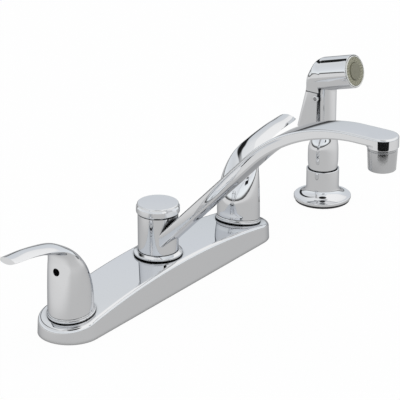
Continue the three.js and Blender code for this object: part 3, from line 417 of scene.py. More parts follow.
def eased(tree, value, low, high, start=0.0, end=1.0):
    """A smooth step from start to end while the value goes from low to high."""
    node = wired(
        tree, "ShaderNodeMapRange", value, low, high, start, end, interpolation_type="SMOOTHSTEP"
    )
    return node.outputs[0]


def counted(tree, operation, *values):
    """The result of a sum or comparison of values."""
    return wired(tree, "ShaderNodeMath", *values, operation=operation).outputs[0]


def tinted(tree, value, stops):
    """The colour of a ramp with stops (position, red, green, blue) at a value."""
    node = wired(tree, "ShaderNodeValToRGB", value)
    ramp = node.color_ramp
    while len(ramp.elements) < len(stops):
        ramp.elements.new(0.5)
    for element, (position, *tint) in zip(ramp.elements, stops):
        element.position = position
        element.color = (*tint, 1)
    return node.outputs[0]


def dimmed(tree, tint, factor):
    """A colour multiplied by a factor."""
    sockets = {"Scale": factor}
    return wired(tree, "ShaderNodeVectorMath", tint, operation="SCALE", sockets=sockets).outputs[0]


def geometry_tree(name, **kinds):
    """A new geometry tree with named inputs and a material, and their sockets inside it."""
    tree = bpy.data.node_groups.new(name, "GeometryNodeTree")
    for label, kind in {**kinds, "Material": "Material"}.items():
        socket_type = f"NodeSocket{kind}"
        tree.interface.new_socket(label.replace("_", " "), in_out="INPUT", socket_type=socket_type)
    tree.interface.new_socket("Geometry", in_out="OUTPUT", socket_type="NodeSocketGeometry")
    return tree, tree.nodes.new("NodeGroupInput").outputs


def grow_end(tree, geometry, material):
    """Ends a geometry tree with real meshes that carry the material."""
    real = wired(tree, "GeometryNodeRealizeInstances", geometry).outputs[0]
    sockets = {"Geometry": real, "Material": material}
    dressed = wired(tree, "GeometryNodeSetMaterial", sockets=sockets)
    wired(tree, "NodeGroupOutput", dressed.outputs[0])


def studs_tree(name):
    """Small studs on three rings round the middle, four more on each ring."""
    number = "Float"
    tree, given = geometry_tree(
        name,
        Jets="Int",
        Inner_Radius=number,
        Ring_Step=number,
        Stud_Radius=number,
        Stud_Height=number,
    )
    base = given["Stud Radius"]
    tip = counted(tree, "MULTIPLY", base, 0.6)
    stud = wired(tree, "GeometryNodeMeshCone", 10, 1, 1, tip, base, given["Stud Height"])
    rings = tree.nodes.new("GeometryNodeJoinGeometry")
    for i in range(3):
        count = counted(tree, "ADD", given["Jets"], 4.0 * i)
        radius = counted(tree, "MULTIPLY_ADD", given["Ring Step"], float(i), given["Inner Radius"])
        circle_points = wired(tree, "GeometryNodeMeshCircle", count, radius).outputs[0]
        sockets = {"Points": circle_points, "Instance": stud.outputs[0]}
        studs = wired(tree, "GeometryNodeInstanceOnPoints", sockets=sockets)
        tree.links.new(studs.outputs[0], rings.inputs[0])
    grow_end(tree, rings.outputs[0], given["Material"])
    return tree


def coil_tree(name):
    """A wire that winds upwards at a radius."""
    number = "Float"
    tree, given = geometry_tree(
        name, Turns=number, Radius=number, Height=number, Wire_Radius=number, Sides="Int"
    )
    radius, height = given["Radius"], given["Height"]
    spiral = wired(tree, "GeometryNodeCurveSpiral", 48, given["Turns"], radius, radius, height)
    sockets = {"Resolution": given["Sides"], "Radius": given["Wire Radius"]}
    wire = wired(tree, "GeometryNodeCurvePrimitiveCircle", sockets=sockets)
    sockets = {"Curve": spiral.outputs[0], "Profile Curve": wire.outputs[0], "Fill Caps": True}
    sweep = wired(tree, "GeometryNodeCurveToMesh", sockets=sockets)
    grow_end(tree, sweep.outputs[0], given["Material"])
    return tree


def grown(name, tree, body, slot, place, **values):
    """The mesh that a geometry tree makes from its inputs, put in place on a body."""
    obj = mesh_from(name, [], [])
    modifier = obj.modifiers.new("Growth", "NODES")
    modifier.node_group = tree
    sockets = {item.name: item.identifier for item in tree.interface.items_tree}
    for label, value in {**values, "Material": finish_for(slot)}.items():
        modifier[sockets[label.replace("_", " ")]] = value
    depsgraph = bpy.context.evaluated_depsgraph_get()
    mesh = bpy.data.meshes.new_from_object(obj.evaluated_get(depsgraph))
    obj.modifiers.clear()
    obj.data = mesh
    if not mesh.polygons:
        raise RuntimeError(f"{name}: the geometry tree made no faces")
    moved(obj, place)
    shaded(mesh, 40)
    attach(obj, body)
    return obj


# ---- Finishes ----

EDGE_TINT = (0.58, 0.59, 0.61, 1)  # chrome seen at a grazing angle
PAINTED_SHADE_REACH = 0.005  # metres from which a neighbouring face paints shade on the chrome
PAINTED_SHADE_TONE = 0.06  # share of the chrome's colour left in a deep crease, as painted shade


def shader_group(name, inputs, outputs):
    """A new shader node group of plain numbers, and its input sockets inside it."""
    tree = bpy.data.node_groups.new(name, "ShaderNodeTree")
    number = "NodeSocketFloat"
    for label, default in inputs.items():
        socket = tree.interface.new_socket(label, in_out="INPUT", socket_type=number)
        socket.default_value = default
    for label in outputs:
        tree.interface.new_socket(label, in_out="OUTPUT", socket_type=number)
    return tree, tree.nodes.new("NodeGroupInput").outputs


def noise(tree, place, scale, detail, **more):
    """A noise over the surface, from 0 to 1."""
    sockets = {"Vector": place, "Scale": scale, "Detail": detail, **more}
    return wired(tree, "ShaderNodeTexNoise", sockets=sockets).outputs["Fac"]


def handling_marks(name):
    """Faint smudges and water marks: a roughness and a height that wander over the surface."""
    defaults = {"Clean Roughness": 0.04, "Smudge": 0.05, "Patch Scale": 45.0, "Grain Scale": 900.0}
    tree, given = shader_group(name, defaults, ("Roughness", "Height"))
    place = tree.nodes.new("ShaderNodeTexCoord").outputs["Object"]
    patches = noise(tree, place, given["Patch Scale"], 4.0, Roughness=0.62)
    grain = noise(tree, place, given["Grain Scale"], 2.0)
    mask = counted(tree, "MULTIPLY", eased(tree, patches, 0.52, 0.78), grain)
    rough = counted(tree, "MULTIPLY_ADD", mask, given["Smudge"], given["Clean Roughness"])
    wired(tree, "NodeGroupOutput", rough, grain)
    return tree


def machining_lines(name):
    """Fine lines across the Z axis as a height, and a mask of slight stains."""
    tree, given = shader_group(name, {"Line Scale": 900.0, "Wander": 1.0}, ("Height", "Mask"))
    place = tree.nodes.new("ShaderNodeTexCoord").outputs["Object"]
    sockets = {
        "Vector": place,
        "Scale": given["Line Scale"],
        "Distortion": given["Wander"],
        "Detail": 2.0,
    }
    settings = {"wave_type": "BANDS", "bands_direction": "Z"}
    lines = wired(tree, "ShaderNodeTexWave", sockets=sockets, **settings).outputs["Fac"]
    wired(tree, "NodeGroupOutput", lines, noise(tree, place, 120.0, 5.0))
    return tree


def plain_finish(name, base, roughness, metallic):
    """A new material, its node tree and its surface shader."""
    material = bpy.data.materials.new(name)
    material.use_nodes = True
    material.diffuse_color = (*base, 1.0)
    shader = material.node_tree.nodes["Principled BSDF"]
    shader.inputs["Base Color"].default_value = (*base, 1.0)
    shader.inputs["Roughness"].default_value = roughness
    shader.inputs["Metallic"].default_value = metallic
    return material, material.node_tree, shader


def add_relief(tree, shader, name, make, inputs, strength, distance):
    """A shared group's outputs, with its height wired to the surface as a bump."""
    group = kept("node_groups", name, make)
    given = wired(tree, "ShaderNodeGroup", *inputs, node_tree=group).outputs
    sockets = {"Strength": strength, "Distance": distance, "Height": given["Height"]}
    bump = wired(tree, "ShaderNodeBump", sockets=sockets)
    tree.links.new(bump.outputs["Normal"], shader.inputs["Normal"])
    return given


def add_marks(tree, shader, strength, distance, *inputs):
    """Handling marks: clean roughness, smudge, patch scale and grain scale."""
    marks = add_relief(tree, shader, "Handling Marks", handling_marks, inputs, strength, distance)
    tree.links.new(marks["Roughness"], shader.inputs["Roughness"])


def add_lines(tree, shader, strength, distance, *inputs):
    """The stain mask of machining lines: their line scale and wander."""
    lines = add_relief(tree, shader, "Machining Lines", machining_lines, inputs, strength, distance)
    return lines["Mask"]


def chrome_with_painted_shade(name):
    """Mirror chrome plate with faint handling marks, darker at its edges, and with painted shade in its
    creases.
    """
    finish = bpy.context.scene.faucet_finish
    clean = finish.chrome_roughness
    material, tree, shader = plain_finish(name, finish.chrome, clean, 1.0)
    shader.inputs["Specular Tint"].default_value = EDGE_TINT
    add_marks(tree, shader, 0.012, 0.0002, clean, 0.05, 38.0, 420.0)
    # Painted shade: an ambient occlusion node darkens the chrome's colour in creases and where pieces
    # meet.
    sockets = {"Distance": PAINTED_SHADE_REACH}
    painted_shade = wired(tree, "ShaderNodeAmbientOcclusion", sockets=sockets, samples=8)
    tint = eased(tree, painted_shade.outputs["AO"], 0.3, 0.85, PAINTED_SHADE_TONE, 1.0)
    tree.links.new(dimmed(tree, finish.chrome, tint), shader.inputs["Base Color"])
    return material


def satin_finish(name):
    """Duller plate on the aerator's shell, with fine lines round it."""
    base = tuple(0.66 * c for c in bpy.context.scene.faucet_finish.chrome)
    material, tree, shader = plain_finish(name, base, 0.16, 1.0)
    add_lines(tree, shader, 0.10, 0.0001, 700.0, 0.6)
    return material


def machined_finish(name, base, roughness, line_scale):
    """Bare turned metal with machining lines and slight stains."""
    material, tree, shader = plain_finish(name, base, roughness, 1.0)
    stains = add_lines(tree, shader, 0.25, 0.0002, line_scale, 1.4)
    stops = [(0.35, *(0.72 * c for c in base)), (0.65, *base)]
    tree.links.new(tinted(tree, stains, stops), shader.inputs["Base Color"])
    return material


def moulded_finish(name, base, roughness, grain_scale, strength):
    """Moulded rubber or plastic with a fine grain and uneven gloss."""
    material, tree, shader = plain_finish(name, base, roughness, 0.0)
    add_marks(tree, shader, strength, 0.0003, roughness, 0.25, 70.0, grain_scale)
    return material


def finish_for(slot):
    """The material for one of the record's slots."""
    finish = bpy.context.scene.faucet_finish
    make, name, *values = {
        "chrome": (chrome_with_painted_shade, "Chrome Plate"),
        "brass": (machined_finish, "Machined Brass", finish.brass, 0.3, 500.0),
        "copper": (machined_finish, "Drawn Copper", finish.copper, 0.34, 260.0),
        "steel": (machined_finish, "Stainless Steel", finish.steel, 0.32, 800.0),
        "rubber": (moulded_finish, "Black Rubber", finish.rubber, 0.62, 1400.0, 0.3),
        "black_plastic": (moulded_finish, "Dark Plastic", finish.dark_plastic, 0.42, 2200.0, 0.35),
        "white_plastic": (moulded_finish, "White Plastic", finish.white_plastic, 0.3, 1600.0, 0.1),
        "grey_rubber": (moulded_finish, "Spray Face Rubber", finish.face_rubber, 0.6, 1800.0, 0.3),
        "grey_plastic": (moulded_finish, "Spray Face Plastic", finish.face_plastic, 0.5, 1500.0, 0.2),
    }[slot]
    return kept("materials", name, make, *values)


# ---- Deck plate ----


class PlateShape(Shape):
    """The plate's sizes in millimetres and the heights that others stand at."""

    def __init__(self):
        super().__init__("faucet_plate")
        self.end_x = self.spacing + self.end_shift
        self.lean = math.asin(self.spacing / self.arch)
        self.seat = self.top(self.spacing)

    def top(self, x):
        return self.crest - self.arch + math.sqrt(self.arch**2 - x**2)

    def leaning(self, sign):
        """From a handle's own frame to the row's frame."""
        place = Matrix.Translation((sign * self.spacing, 0, self.seat))
        return place @ Matrix.Rotation(sign * self.lean, 4, "Y")


def plate_block(name, plate, inset, bottom, drop, edge):
    """The stadium block with its arched top, closed by strips that run across it."""
    end_steps, straight_steps, edge_steps = 36, 72, 10

    def front(step_in):
        radius = plate.half_width - step_in
        outline = []
        for i in range(end_steps):
            angle = math.pi * (1 + i / (2 * end_steps))
            outline.append((-plate.end_x + radius * math.cos(angle), radius * math.sin(angle)))
        for i in range(straight_steps + 1):
            outline.append((-plate.end_x + 2 * plate.end_x * i / straight_steps, -radius))
        for i in range(1, end_steps + 1):
            angle = math.pi * (1.5 + i / (2 * end_steps))
            outline.append((plate.end_x + radius * math.cos(angle), radius * math.sin(angle)))
        return outline

    def ring(step_in, height):
        near = front(step_in)
        far = [(x, -y) for x, y in near[-2:0:-1]]
        return [(x, y, height(x)) for x, y in near + far]

    rings = [ring(inset, lambda x: bottom)]
    for i in range(edge_steps + 1):
        angle = math.pi / 2 * i / edge_steps
        in_by = edge * (1 - math.cos(angle))
        down_by = edge * (1 - math.sin(angle))
        lean_in = plate.draft if edge else 0
        rings.append(ring(inset + lean_in + in_by, lambda x, d=down_by: plate.top(x) - drop - d))
    points, rows = numbered(rings)
    faces = banded(rows)
    for row, is_bottom in ((rows[0], True), (rows[-1], False)):
        for i in range(len(row) // 2):
            corners = list(dict.fromkeys((row[i], row[i + 1], row[-i - 1], row[-i])))
            faces.append(corners[::-1] if is_bottom else corners)
    return mesh_from(name, points, faces)


def build_plate():
    plate = PlateShape()
    shell = plate_block("faucet_deck_plate", plate, 0, 0, 0, plate.edge)
    wall = plate.wall
    hollow = plate_block("cut_hollow", plate, wall, -1, wall, plate.edge - wall)
    holes = []
    for sign in SIDES.values():
        hole = cylinder("cut_boss", BOSS_RADIUS + GAP, (0, 0, -20), (0, 0, 20))
        holes.append(moved(hole, plate.leaning(sign)))
    holes.append(cylinder("cut_post", POST_RADIUS + GAP, (0, 0, 0), (0, 0, 40)))
    carved(shell, hollow, *holes)
    chromed(shell, "faucet_base")


# ---- Handles ----


def smooth_curve(values, t):
    """A smooth curve through evenly spaced values, at t from 0 to 1."""
    last = len(values) - 1
    place = min(t * last, last - 1e-9)
    i = int(place)
    f = place - i
    before = values[i - 1] if i > 0 else 2 * values[0] - values[1]
    after = values[i + 2] if i + 2 <= last else 2 * values[last] - values[last - 1]
    a, b = values[i], values[i + 1]
    start, end = (b - before) / 2, (after - a) / 2
    return (
        (2 * f**3 - 3 * f**2 + 1) * a
        + (f**3 - 2 * f**2 + f) * start
        + (3 * f**2 - 2 * f**3) * b
        + (f**3 - f**2) * end
    )


class HandleShape(Shape):
    """The handle's sizes in millimetres and the rings that it is skinned over."""

    def __init__(self):
        super().__init__("faucet_handles")
        self.base = 2 * GAP + self.trim_height
        r, h, half, reach = self.radius, self.hood, self.half, self.reach
        start = h * 0.93

        def up(part):
            return start + (self.tip - start) * part

        tip_low = up(0.97)
        # Each row is a ring's wall point, its back point, its half width and its edge sharpness.
        self.stations = [
            (r, 0, -r, 0, r, 1),
            (r * 0.98, h * 0.04, -r * 1.01, h * 0.03, r, 1),
            (r * 0.92, h * 0.14, -r * 1.05, h * 0.1, r, 1),
            (r * 0.76, h * 0.38, -r * 1.06, h * 0.28, r * 0.98, 1),
            (r * 0.62, h * 0.59, -r * 0.93, h * 0.49, r * 0.91, 1),
            (r * 0.53, h * 0.73, -r * 0.68, h * 0.66, r * 0.82, 1.08),
            (r * 0.54, h * 0.84, -r * 0.32, h * 0.81, r * 0.71, 1.2),
            (r * 0.7, h * 0.9, r * 0.14, h * 0.93, r * 0.62, 1.4),
            (reach * 0.3, up(0.02), reach * 0.18, up(0.36), half * 1.16, 1.6),
            (reach * 0.45, up(0.3), reach * 0.39, up(0.68), half * 1.06, 1.75),
            (reach * 0.67, up(0.6), reach * 0.63, up(0.97), half * 1.01, 1.85),
            (reach * 0.87, up(0.83), reach * 0.855, up(1.15), half, 1.85),
            (reach, tip_low, reach - 1.2, tip_low + self.thickness, half * 0.93, 1.85),
        ]

    def ring(self, sign, t, inset, count):
        columns = zip(*self.stations)
        wall_x, wall_z, back_x, back_z, half, edge = (
            smooth_curve(list(column), t) for column in columns
        )
        wall_x, back_x, half = wall_x - inset, back_x + inset, half - inset
        ring = []
        for ahead, aside in circle(count):
            across = math.copysign(abs(ahead) ** edge, ahead)
            x = (wall_x + back_x) / 2 + (wall_x - back_x) / 2 * across
            z = (wall_z + back_z) / 2 + (wall_z - back_z) / 2 * across
            ring.append((sign * x, half * aside, self.base + z))
        return ring


def build_handles():
    plate, shape = PlateShape(), HandleShape()
    broach, broach_end = BROACH_RADIUS + GAP, 43 + GAP
    sleeve_wall, sleeve_foot, screw_hole = 2.4, 16, 2.8
    steps, count = 110, 128
    inner_steps, inner_end, inner_count = 66, 25, 64
    for side, sign in SIDES.items():
        rings = [shape.ring(sign, k / steps, 0, count) for k in range(steps + 1)]
        hood = lofted(f"faucet_handle_{side}", rings)
        inner = [shape.ring(sign, k / inner_steps, shape.wall, inner_count) for k in range(inner_end)]
        mouth = [(x, y, z - 1) for x, y, z in inner[0]]
        hollow = lofted("cut_hollow", [mouth, *inner])
        carved(hood, hollow)
        screw_z = shape.screw_height
        sleeve = cylinder("sleeve", broach + sleeve_wall, (0, 0, sleeve_foot), (0, 0, screw_z))
        joined(hood, sleeve)
        carved(
            hood,
            cylinder("cut_broach", broach, (0, 0, 0), (0, 0, broach_end)),
            cylinder("cut_screw", screw_hole, (0, 0, screw_z), (sign * shape.radius, 0, screw_z)),
        )
        moved(hood, plate.leaning(sign))
        chromed(hood, f"handle_{side}_body")


def build_handle_rings():
    plate, shape = PlateShape(), HandleShape()
    inner = BOSS_RADIUS + GAP
    r, top = shape.trim_radius, GAP + shape.trim_height
    step = r - 0.7
    outline = filleted(
        [
            (inner, GAP), (r, GAP, 0.5), (r, GAP + 1.35, 0.5), (step, GAP + 1.5, 0.15),
            (step, top, 0.5), (inner, top),
        ],
        closed=True,
    )
    for side, sign in SIDES.items():
        ring = revolved(f"faucet_handle_ring_{side}", outline, 128, closed=True)
        moved(ring, plate.leaning(sign))
        chromed(ring, "faucet_base")


def build_set_screws():
    plate, shape = PlateShape(), HandleShape()
    start = BROACH_RADIUS + GAP
    radius, socket, socket_depth = 2.5, 1.5, 2
    end = start + 4.5
    dark = kept("materials", "Blackened Steel", machined_finish, (0.02, 0.02, 0.022), 0.5, 900.0)
    outline = filleted([(0, start), (radius, start, 0.3), (radius, end, 0.35), (0, end)])
    for side, sign in SIDES.items():
        screw = revolved(f"faucet_set_screw_{side}", outline, 48)
        hexagon = cylinder("cut_socket", socket, (0, 0, end - socket_depth), (0, 0, end + 1), 6)
        carved(screw, hexagon)
        place = Matrix.Translation((0, 0, shape.screw_height))
        moved(screw, plate.leaning(sign) @ place @ Matrix.Rotation(sign * math.pi / 2, 4, "Y"))
        finished(screw, dark, f"handle_{side}_body", [f"set_screw_{side}"])


# ---- Hub and spout ----

def build_hub_trim():
    hub_ring = 17.9
    bottom, top = PlateShape().crest + GAP, HUB_BOTTOM - GAP
    inner = POST_RADIUS + GAP
    outline = filleted(
        [
            (inner, bottom), (hub_ring, bottom, 0.9), (hub_ring, bottom + 1.9, 0.8),
            (hub_ring - 2.4, top, 0.8), (inner, top),
        ],
        closed=True,
        steps=8,
    )
    ring = revolved("faucet_spout_base_ring", outline, 128, closed=True)
    chromed(ring, "faucet_base")


def build_cap():
    r = SpoutShape().cap_radius
    bottom, roof = HUB_TOP + GAP, CAP_TOP - 2
    bore = POST_RADIUS + GAP
    outline = filleted(
        [
            (0, CAP_TOP), (r - 0.9, CAP_TOP, 0.7), (r - 0.75, CAP_TOP - 1.4, 0.5),
            (r, CAP_TOP - 2.6, 0.8), (r, bottom + 1.2, 0.9), (r - 1.1, bottom, 0.4),
            (bore, bottom), (bore, roof), (0, roof),
        ],
        steps=6,
    )
    cap = revolved("faucet_spout_cap", outline, 128)
    chromed(cap, "faucet_base")


class SpoutShape(Shape):
    """The blade's middle line and sections, in millimetres."""

    def __init__(self):
        super().__init__("faucet_spout")
        self.head_top = self.level + self.tip_half
        self.head_bottom = self.head_top - HEAD_DEPTH

    def line(self, start, end, line_steps, arc_steps, level_steps):
        """Points along the middle: distance in front of the hub, height and slope."""
        arc_start = self.arc_end - self.arc * math.sin(self.rise)
        base = self.level - self.arc
        arc_height = base + self.arc * math.cos(self.rise)
        line = []
        for i in range(line_steps):
            d = start + (arc_start - start) * i / line_steps
            line.append((d, arc_height - (arc_start - d) * math.tan(self.rise), self.rise))
        for i in range(arc_steps):
            slope = self.rise * (1 - i / arc_steps)
            d = self.arc_end - self.arc * math.sin(slope)
            line.append((d, base + self.arc * math.cos(slope), slope))
        for i in range(level_steps + 1):
            line.append((self.arc_end + (end - self.arc_end) * i / level_steps, self.level, 0))
        return line

    def swept(self, name, line, section_at):
        """A section, which may change with the distance, carried along the line."""
        rings = []
        for d, height, slope in line:
            rings.append(
                [
                    (x, -(d - up * math.sin(slope)), height + up * math.cos(slope))
                    for x, up in section_at(d)
                ]
            )
        return lofted(name, rings)


def build_spout():
    shape = SpoutShape()
    thin_start = 0.6 * shape.reach

    def blade_section(d):
        part = min(max(1.03 * (d - thin_start) / (shape.arc_end - thin_start), 0), 1)
        half_h = shape.half_thickness + (shape.tip_half - shape.half_thickness) * part
        half_w = shape.half_width + (shape.head - shape.half_width) * part**3
        corners = [
            (half_w, -half_h, shape.corner), (half_w, half_h, shape.corner),
            (-half_w, half_h, shape.corner), (-half_w, -half_h, shape.corner),
        ]
        return filleted(corners, closed=True, steps=7)

    channel = [(6 * x, 1.9 * y) for x, y in circle(24)]
    head_top, head_bottom = shape.head_top, shape.head_bottom
    ahead = Matrix.Translation((0, -shape.reach, 0))
    sleeve = cylinder("faucet_spout", shape.hub, (0, 0, HUB_BOTTOM), (0, 0, HUB_TOP), 192)
    blade_line = shape.line(8, shape.reach, 30, 60, 6)
    blade = shape.swept("blade", blade_line, blade_section)
    rim = [(shape.head, head_bottom, 0.4), (shape.head, head_top, shape.corner)]
    head_outline = filleted([(0, head_bottom), *rim, (0, head_top)], steps=7)
    head = moved(revolved("head", head_outline, 128), ahead)
    joined(sleeve, blade, head)
    channel_line = shape.line(8, shape.reach, 8, 20, 4)
    neck = cylinder("cut_neck", 8.3, (0, 0, head_bottom - 1), (0, 0, head_bottom + 4.7))
    carved(
        sleeve,
        cylinder("cut_bore", HUB_BORE, (0, 0, HUB_BOTTOM - 1), (0, 0, HUB_TOP + 1), 96),
        cylinder("cut_room", 13, (0, 0, 36), (0, 0, 46), 96),
        shape.swept("cut_channel", channel_line, lambda d: channel),
        moved(neck, ahead),
    )
    chromed(sleeve, "spout_body")


def build_aerator():
    shape = SpoutShape()
    top = shape.head_bottom - GAP
    depth = 15.9
    bottom = top - depth
    bore, neck_top = 6.6, top + 4.4 - 1.2
    outline = filleted(
        [
            (bore, bottom), (9.5, bottom, 0.5), (10.25, top - 1.7, 0.2), (9.7, top - 1.45, 0.2),
            (9.7, top - 1.0, 0.2), (10.3, top - 0.75, 0.2), (10.3, top, 0.25), (8, top),
            (8, neck_top), (bore, neck_top),
        ],
        closed=True,
    )
    shell = revolved("faucet_aerator_shell", outline, 128, closed=True)
    moved(shell, Matrix.Translation((0, -shape.reach, 0)))
    satin = kept("materials", "Satin Chrome", satin_finish)
    finished(shell, satin, "spout_body", ["aerator_shell"])


# ---- Side spray ----


class SprayShape(Shape):
    """The spray's sizes in millimetres and its frames."""

    def __init__(self):
        super().__init__("faucet_spray")
        self.place = Matrix.Translation((self.x, -self.forward, 0))
        self.shoulder = self.height - SHOULDER_DROP
        rise, run = math.sin(self.tilt), math.cos(self.tilt)
        start_y = -self.reach + BARREL_BEND * run - self.barrel * rise
        start_z = self.height - BARREL_BEND * rise - self.barrel * run
        self.elbow_start = Vector((start_y, start_z))
        self.nozzle = (
            self.place
            @ Matrix.Translation((0, -self.reach, self.height))
            @ Matrix.Rotation(math.pi / 2 - self.tilt, 4, "X")
        )

    def barrel_axis(self, y):
        """Height of the barrel's axis at a distance behind the spray's axis."""
        return self.height - (self.reach + y) * math.tan(self.tilt)

    def crown(self, y):
        return self.barrel_axis(y) + self.barrel / math.cos(self.tilt)

    def elbow_half_width(self, y, z):
        """Round like the barrel above its axis, down to the trigger's width below it."""
        axis = self.barrel_axis(y)
        above = (z - axis) * math.cos(self.tilt)
        if above > 0:
            return math.sqrt(max(self.barrel**2 - above**2, 0.04))
        part = (axis - z) / (axis - self.shoulder)
        return self.barrel + (TRIGGER_HALF - self.barrel) * eased_share(part)

    def elbow_outline(self):
        """From the barrel's top over the elbow's corner and down its back to the shoulder."""
        shoulder = Vector((TRIGGER_BACK, self.shoulder))
        corner = Vector((ELBOW_CORNER, self.crown(ELBOW_CORNER)))
        bend = corner + (shoulder - corner).normalized() * ELBOW_BEND
        start = Vector((self.elbow_start.x + 2 * self.barrel * math.sin(self.tilt), 0))
        start.y = self.crown(start.x)
        top = Vector((ELBOW_FRONT, self.crown(ELBOW_FRONT)))
        line = [start.lerp(top, i / 4) for i in range(4)]
        for i in range(28):
            t = i / 28
            line.append(top * (1 - t) ** 2 + corner * 2 * t * (1 - t) + bend * t * t)
        return line + [bend.lerp(shoulder, i / 40) for i in range(41)]

    def elbow_ring(self, back, inset=0.0):
        """A ring through a point of the outline, in a plane that fans from the barrel to level."""
        pivot = self.elbow_start.copy()
        pivot += ELBOW_PIVOT * self.barrel * Vector((math.sin(self.tilt), math.cos(self.tilt)))
        if back.y <= pivot.y:
            pivot.y = back.y
        spoke = (back - pivot).normalized()
        lean = math.atan2(spoke.y, spoke.x)
        fanned = (math.pi / 2 - self.tilt - lean) / math.radians(ELBOW_FAN)
        square = eased_share(min(fanned, 1))
        reach = (back - pivot).length - inset
        depth = self.barrel + (TRIGGER_CORNER - self.barrel) * square

        def half(along):
            y, z = pivot + spoke * along
            return self.elbow_half_width(y, z) - inset

        widest = reach - depth
        front = min((ELBOW_FRONT - pivot.x) / spoke.x, widest - 0.2)
        side = [(half(front) - 0.6, front - 0.6)]
        for i in range(15):
            along = front + (widest - front) * i / 14
            side.append((half(along), along))
        turn = side[-1][0] + (TRIGGER_CORNER - side[-1][0]) * square
        for i in range(1, 41):
            angle = math.pi / 2 * i / 40
            across = side[15][0] - turn * (1 - math.cos(angle))
            side.append((max(across, 1e-3), widest + depth * math.sin(angle)))
        ring = side + [(-x, along) for x, along in reversed(side)]
        return [(x, *(pivot + spoke * along)) for x, along in ring]


def build_spray_holder():
    shape = SprayShape()
    base, edge = 1.6, 4.2
    flare_top, bore = edge + 8, shape.collar - 1.6
    flare = []
    for i in range(25):
        angle = math.pi / 2 * i / 24
        flare.append(
            (
                shape.flange - 0.5 - (shape.flange - 0.5 - shape.collar) * math.sin(angle),
                flare_top - 8 * math.cos(angle),
            )
        )
    outer = [(shape.flange, base, 0.8), (shape.flange, edge, 0.6)]
    rim = filleted([(SHANK_RADIUS, base), *outer, flare[0]])
    outline = [(8.6, -SHANK_DEPTH), (SHANK_RADIUS, -SHANK_DEPTH), *rim, *flare[1:]]
    outline += filleted(
        [
            (shape.collar, flare_top + 1), (shape.collar, shape.collar_top, 0.5),
            (bore, shape.collar_top, 0.3), (bore, 8.3),
        ]
    )
    outline.append((8.6, 7.3))
    holder = revolved("faucet_spray_holder", outline, 128, closed=True)
    moved(holder, shape.place)
    chromed(holder, "faucet_base")


def spray_column(shape):
    """Rings of the grip and the neck, from the tail in the holder up into the barrel."""
    grip, shoulder = shape.grip, shape.collar_top + GAP
    tail = 11.0
    rings = [
        (tail - 0.5, tail - 0.5, 0, 12.3),
        (tail, tail, 0, 13.3),
        (tail, tail, 0, shoulder),
        (grip - 1.1, grip - 1.1, 0, shoulder),
        (grip - 0.6, grip - 0.6, 0, shoulder + 0.5),
    ]
    waist = [
        (27.5, grip - 0.6, grip - 0.6, 0),
        (30, grip - 0.3, grip - 0.3, 0),
        (33.5, grip, grip, 0),
        (41, grip, grip, 0),
        (45, grip * 0.98, grip * 0.98, -0.1),
        (50, grip * 0.88, grip * 0.88, -0.78),
        (55, grip * 0.7, grip * 0.72, -1.95),
        (60, NECK_X, NECK_Y, NECK_SHIFT),
        (65, NECK_X, NECK_Y, NECK_SHIFT),
    ]
    steps = 48
    for i in range(1, steps + 1):
        t = i / steps
        z, rx, ry, shift = (smooth_curve([row[k] for row in waist], t) for k in range(4))
        rings.append((rx, ry, shift, z))
    for z in (75, 85, shape.height - 16, shape.height - 8):
        rings.append((NECK_X, NECK_Y, NECK_SHIFT, z))
    spokes = circle(128)
    return [[(rx * x, shift + ry * y, z) for x, y in spokes] for rx, ry, shift, z in rings]


def build_spray_body():
    shape = SprayShape()
    body = moved(lofted("faucet_spray_body", spray_column(shape)), shape.place)
    inner = shape.barrel - 0.01
    outline = [(0, -60), (inner, -60), (inner, -BARREL_BEND - 0.01)]
    outline.append((shape.barrel, -BARREL_BEND))
    outline += filleted([(shape.barrel, -1), (shape.barrel, 0, 0.3), (0, 0)], steps=5)
    barrel = moved(revolved("barrel", outline, 160), shape.nozzle)
    behind = cylinder("cut_behind", 60, (0, ELBOW_FRONT + 0.05, 100), (0, 90, 100))
    carved(barrel, moved(behind, shape.place))
    rings = [shape.elbow_ring(point) for point in shape.elbow_outline()]
    rings.append(shape.elbow_ring(Vector((TRIGGER_BACK, shape.shoulder)), 0.25))
    rings[-2] = [(x, y, z + 0.25) for x, y, z in rings[-2]]
    elbow = moved(lofted("elbow", rings), shape.place)
    joined(body, barrel, elbow)
    water_y, plunger_z = -4.6, 72
    recess = cylinder("cut_recess", 12.3, (0, 0, -5), (0, 0, 1), 128)
    chamber = cylinder("cut_chamber", 7, (0, 0, -13), (0, 0, 0))
    waterway = cylinder("cut_waterway", 3, (0, water_y, 19), (0, water_y, shape.height - 6))
    inlet = cylinder("cut_inlet", 6.3, (0, 0, 8), (0, 0, 20.3))
    pin_hole = cylinder("cut_pin", PIN_RADIUS, (-9, PIN_Y, PIN_Z), (9, PIN_Y, PIN_Z), 32)
    plunger_hole = cylinder("cut_plunger", 2.1, (0, water_y, plunger_z), (0, 7.4, plunger_z), 32)
    carved(
        body,
        moved(recess, shape.nozzle),
        moved(chamber, shape.nozzle),
        *(moved(tool, shape.place) for tool in (waterway, inlet, pin_hole, plunger_hole)),
    )
    chromed(body, "spray")


def trigger_skin(name, top, inset, front, reach, bevel):
    """The trigger's channel as rings from top to bottom, or its hollow."""
    bottom = 60
    rings = []
    for z, step_in in (
        (top + reach, bevel), (top + reach - bevel, 0), (bottom - reach + bevel, 0),
        (bottom - reach, bevel),
    ):
        part = (top - z) / (top - bottom)
        back = TRIGGER_BACK + 6.9 * part - inset - step_in
        half = TRIGGER_HALF + 0.6 * part - inset - step_in
        radius, edge = TRIGGER_CORNER - inset, bevel / 2
        corners = [
            (half, front, edge), (half, back, radius), (-half, back, radius),
            (-half, front, edge),
        ]
        rings.append([(x, y, z) for x, y in filleted(corners, closed=True, steps=10)])
    return lofted(name, rings)


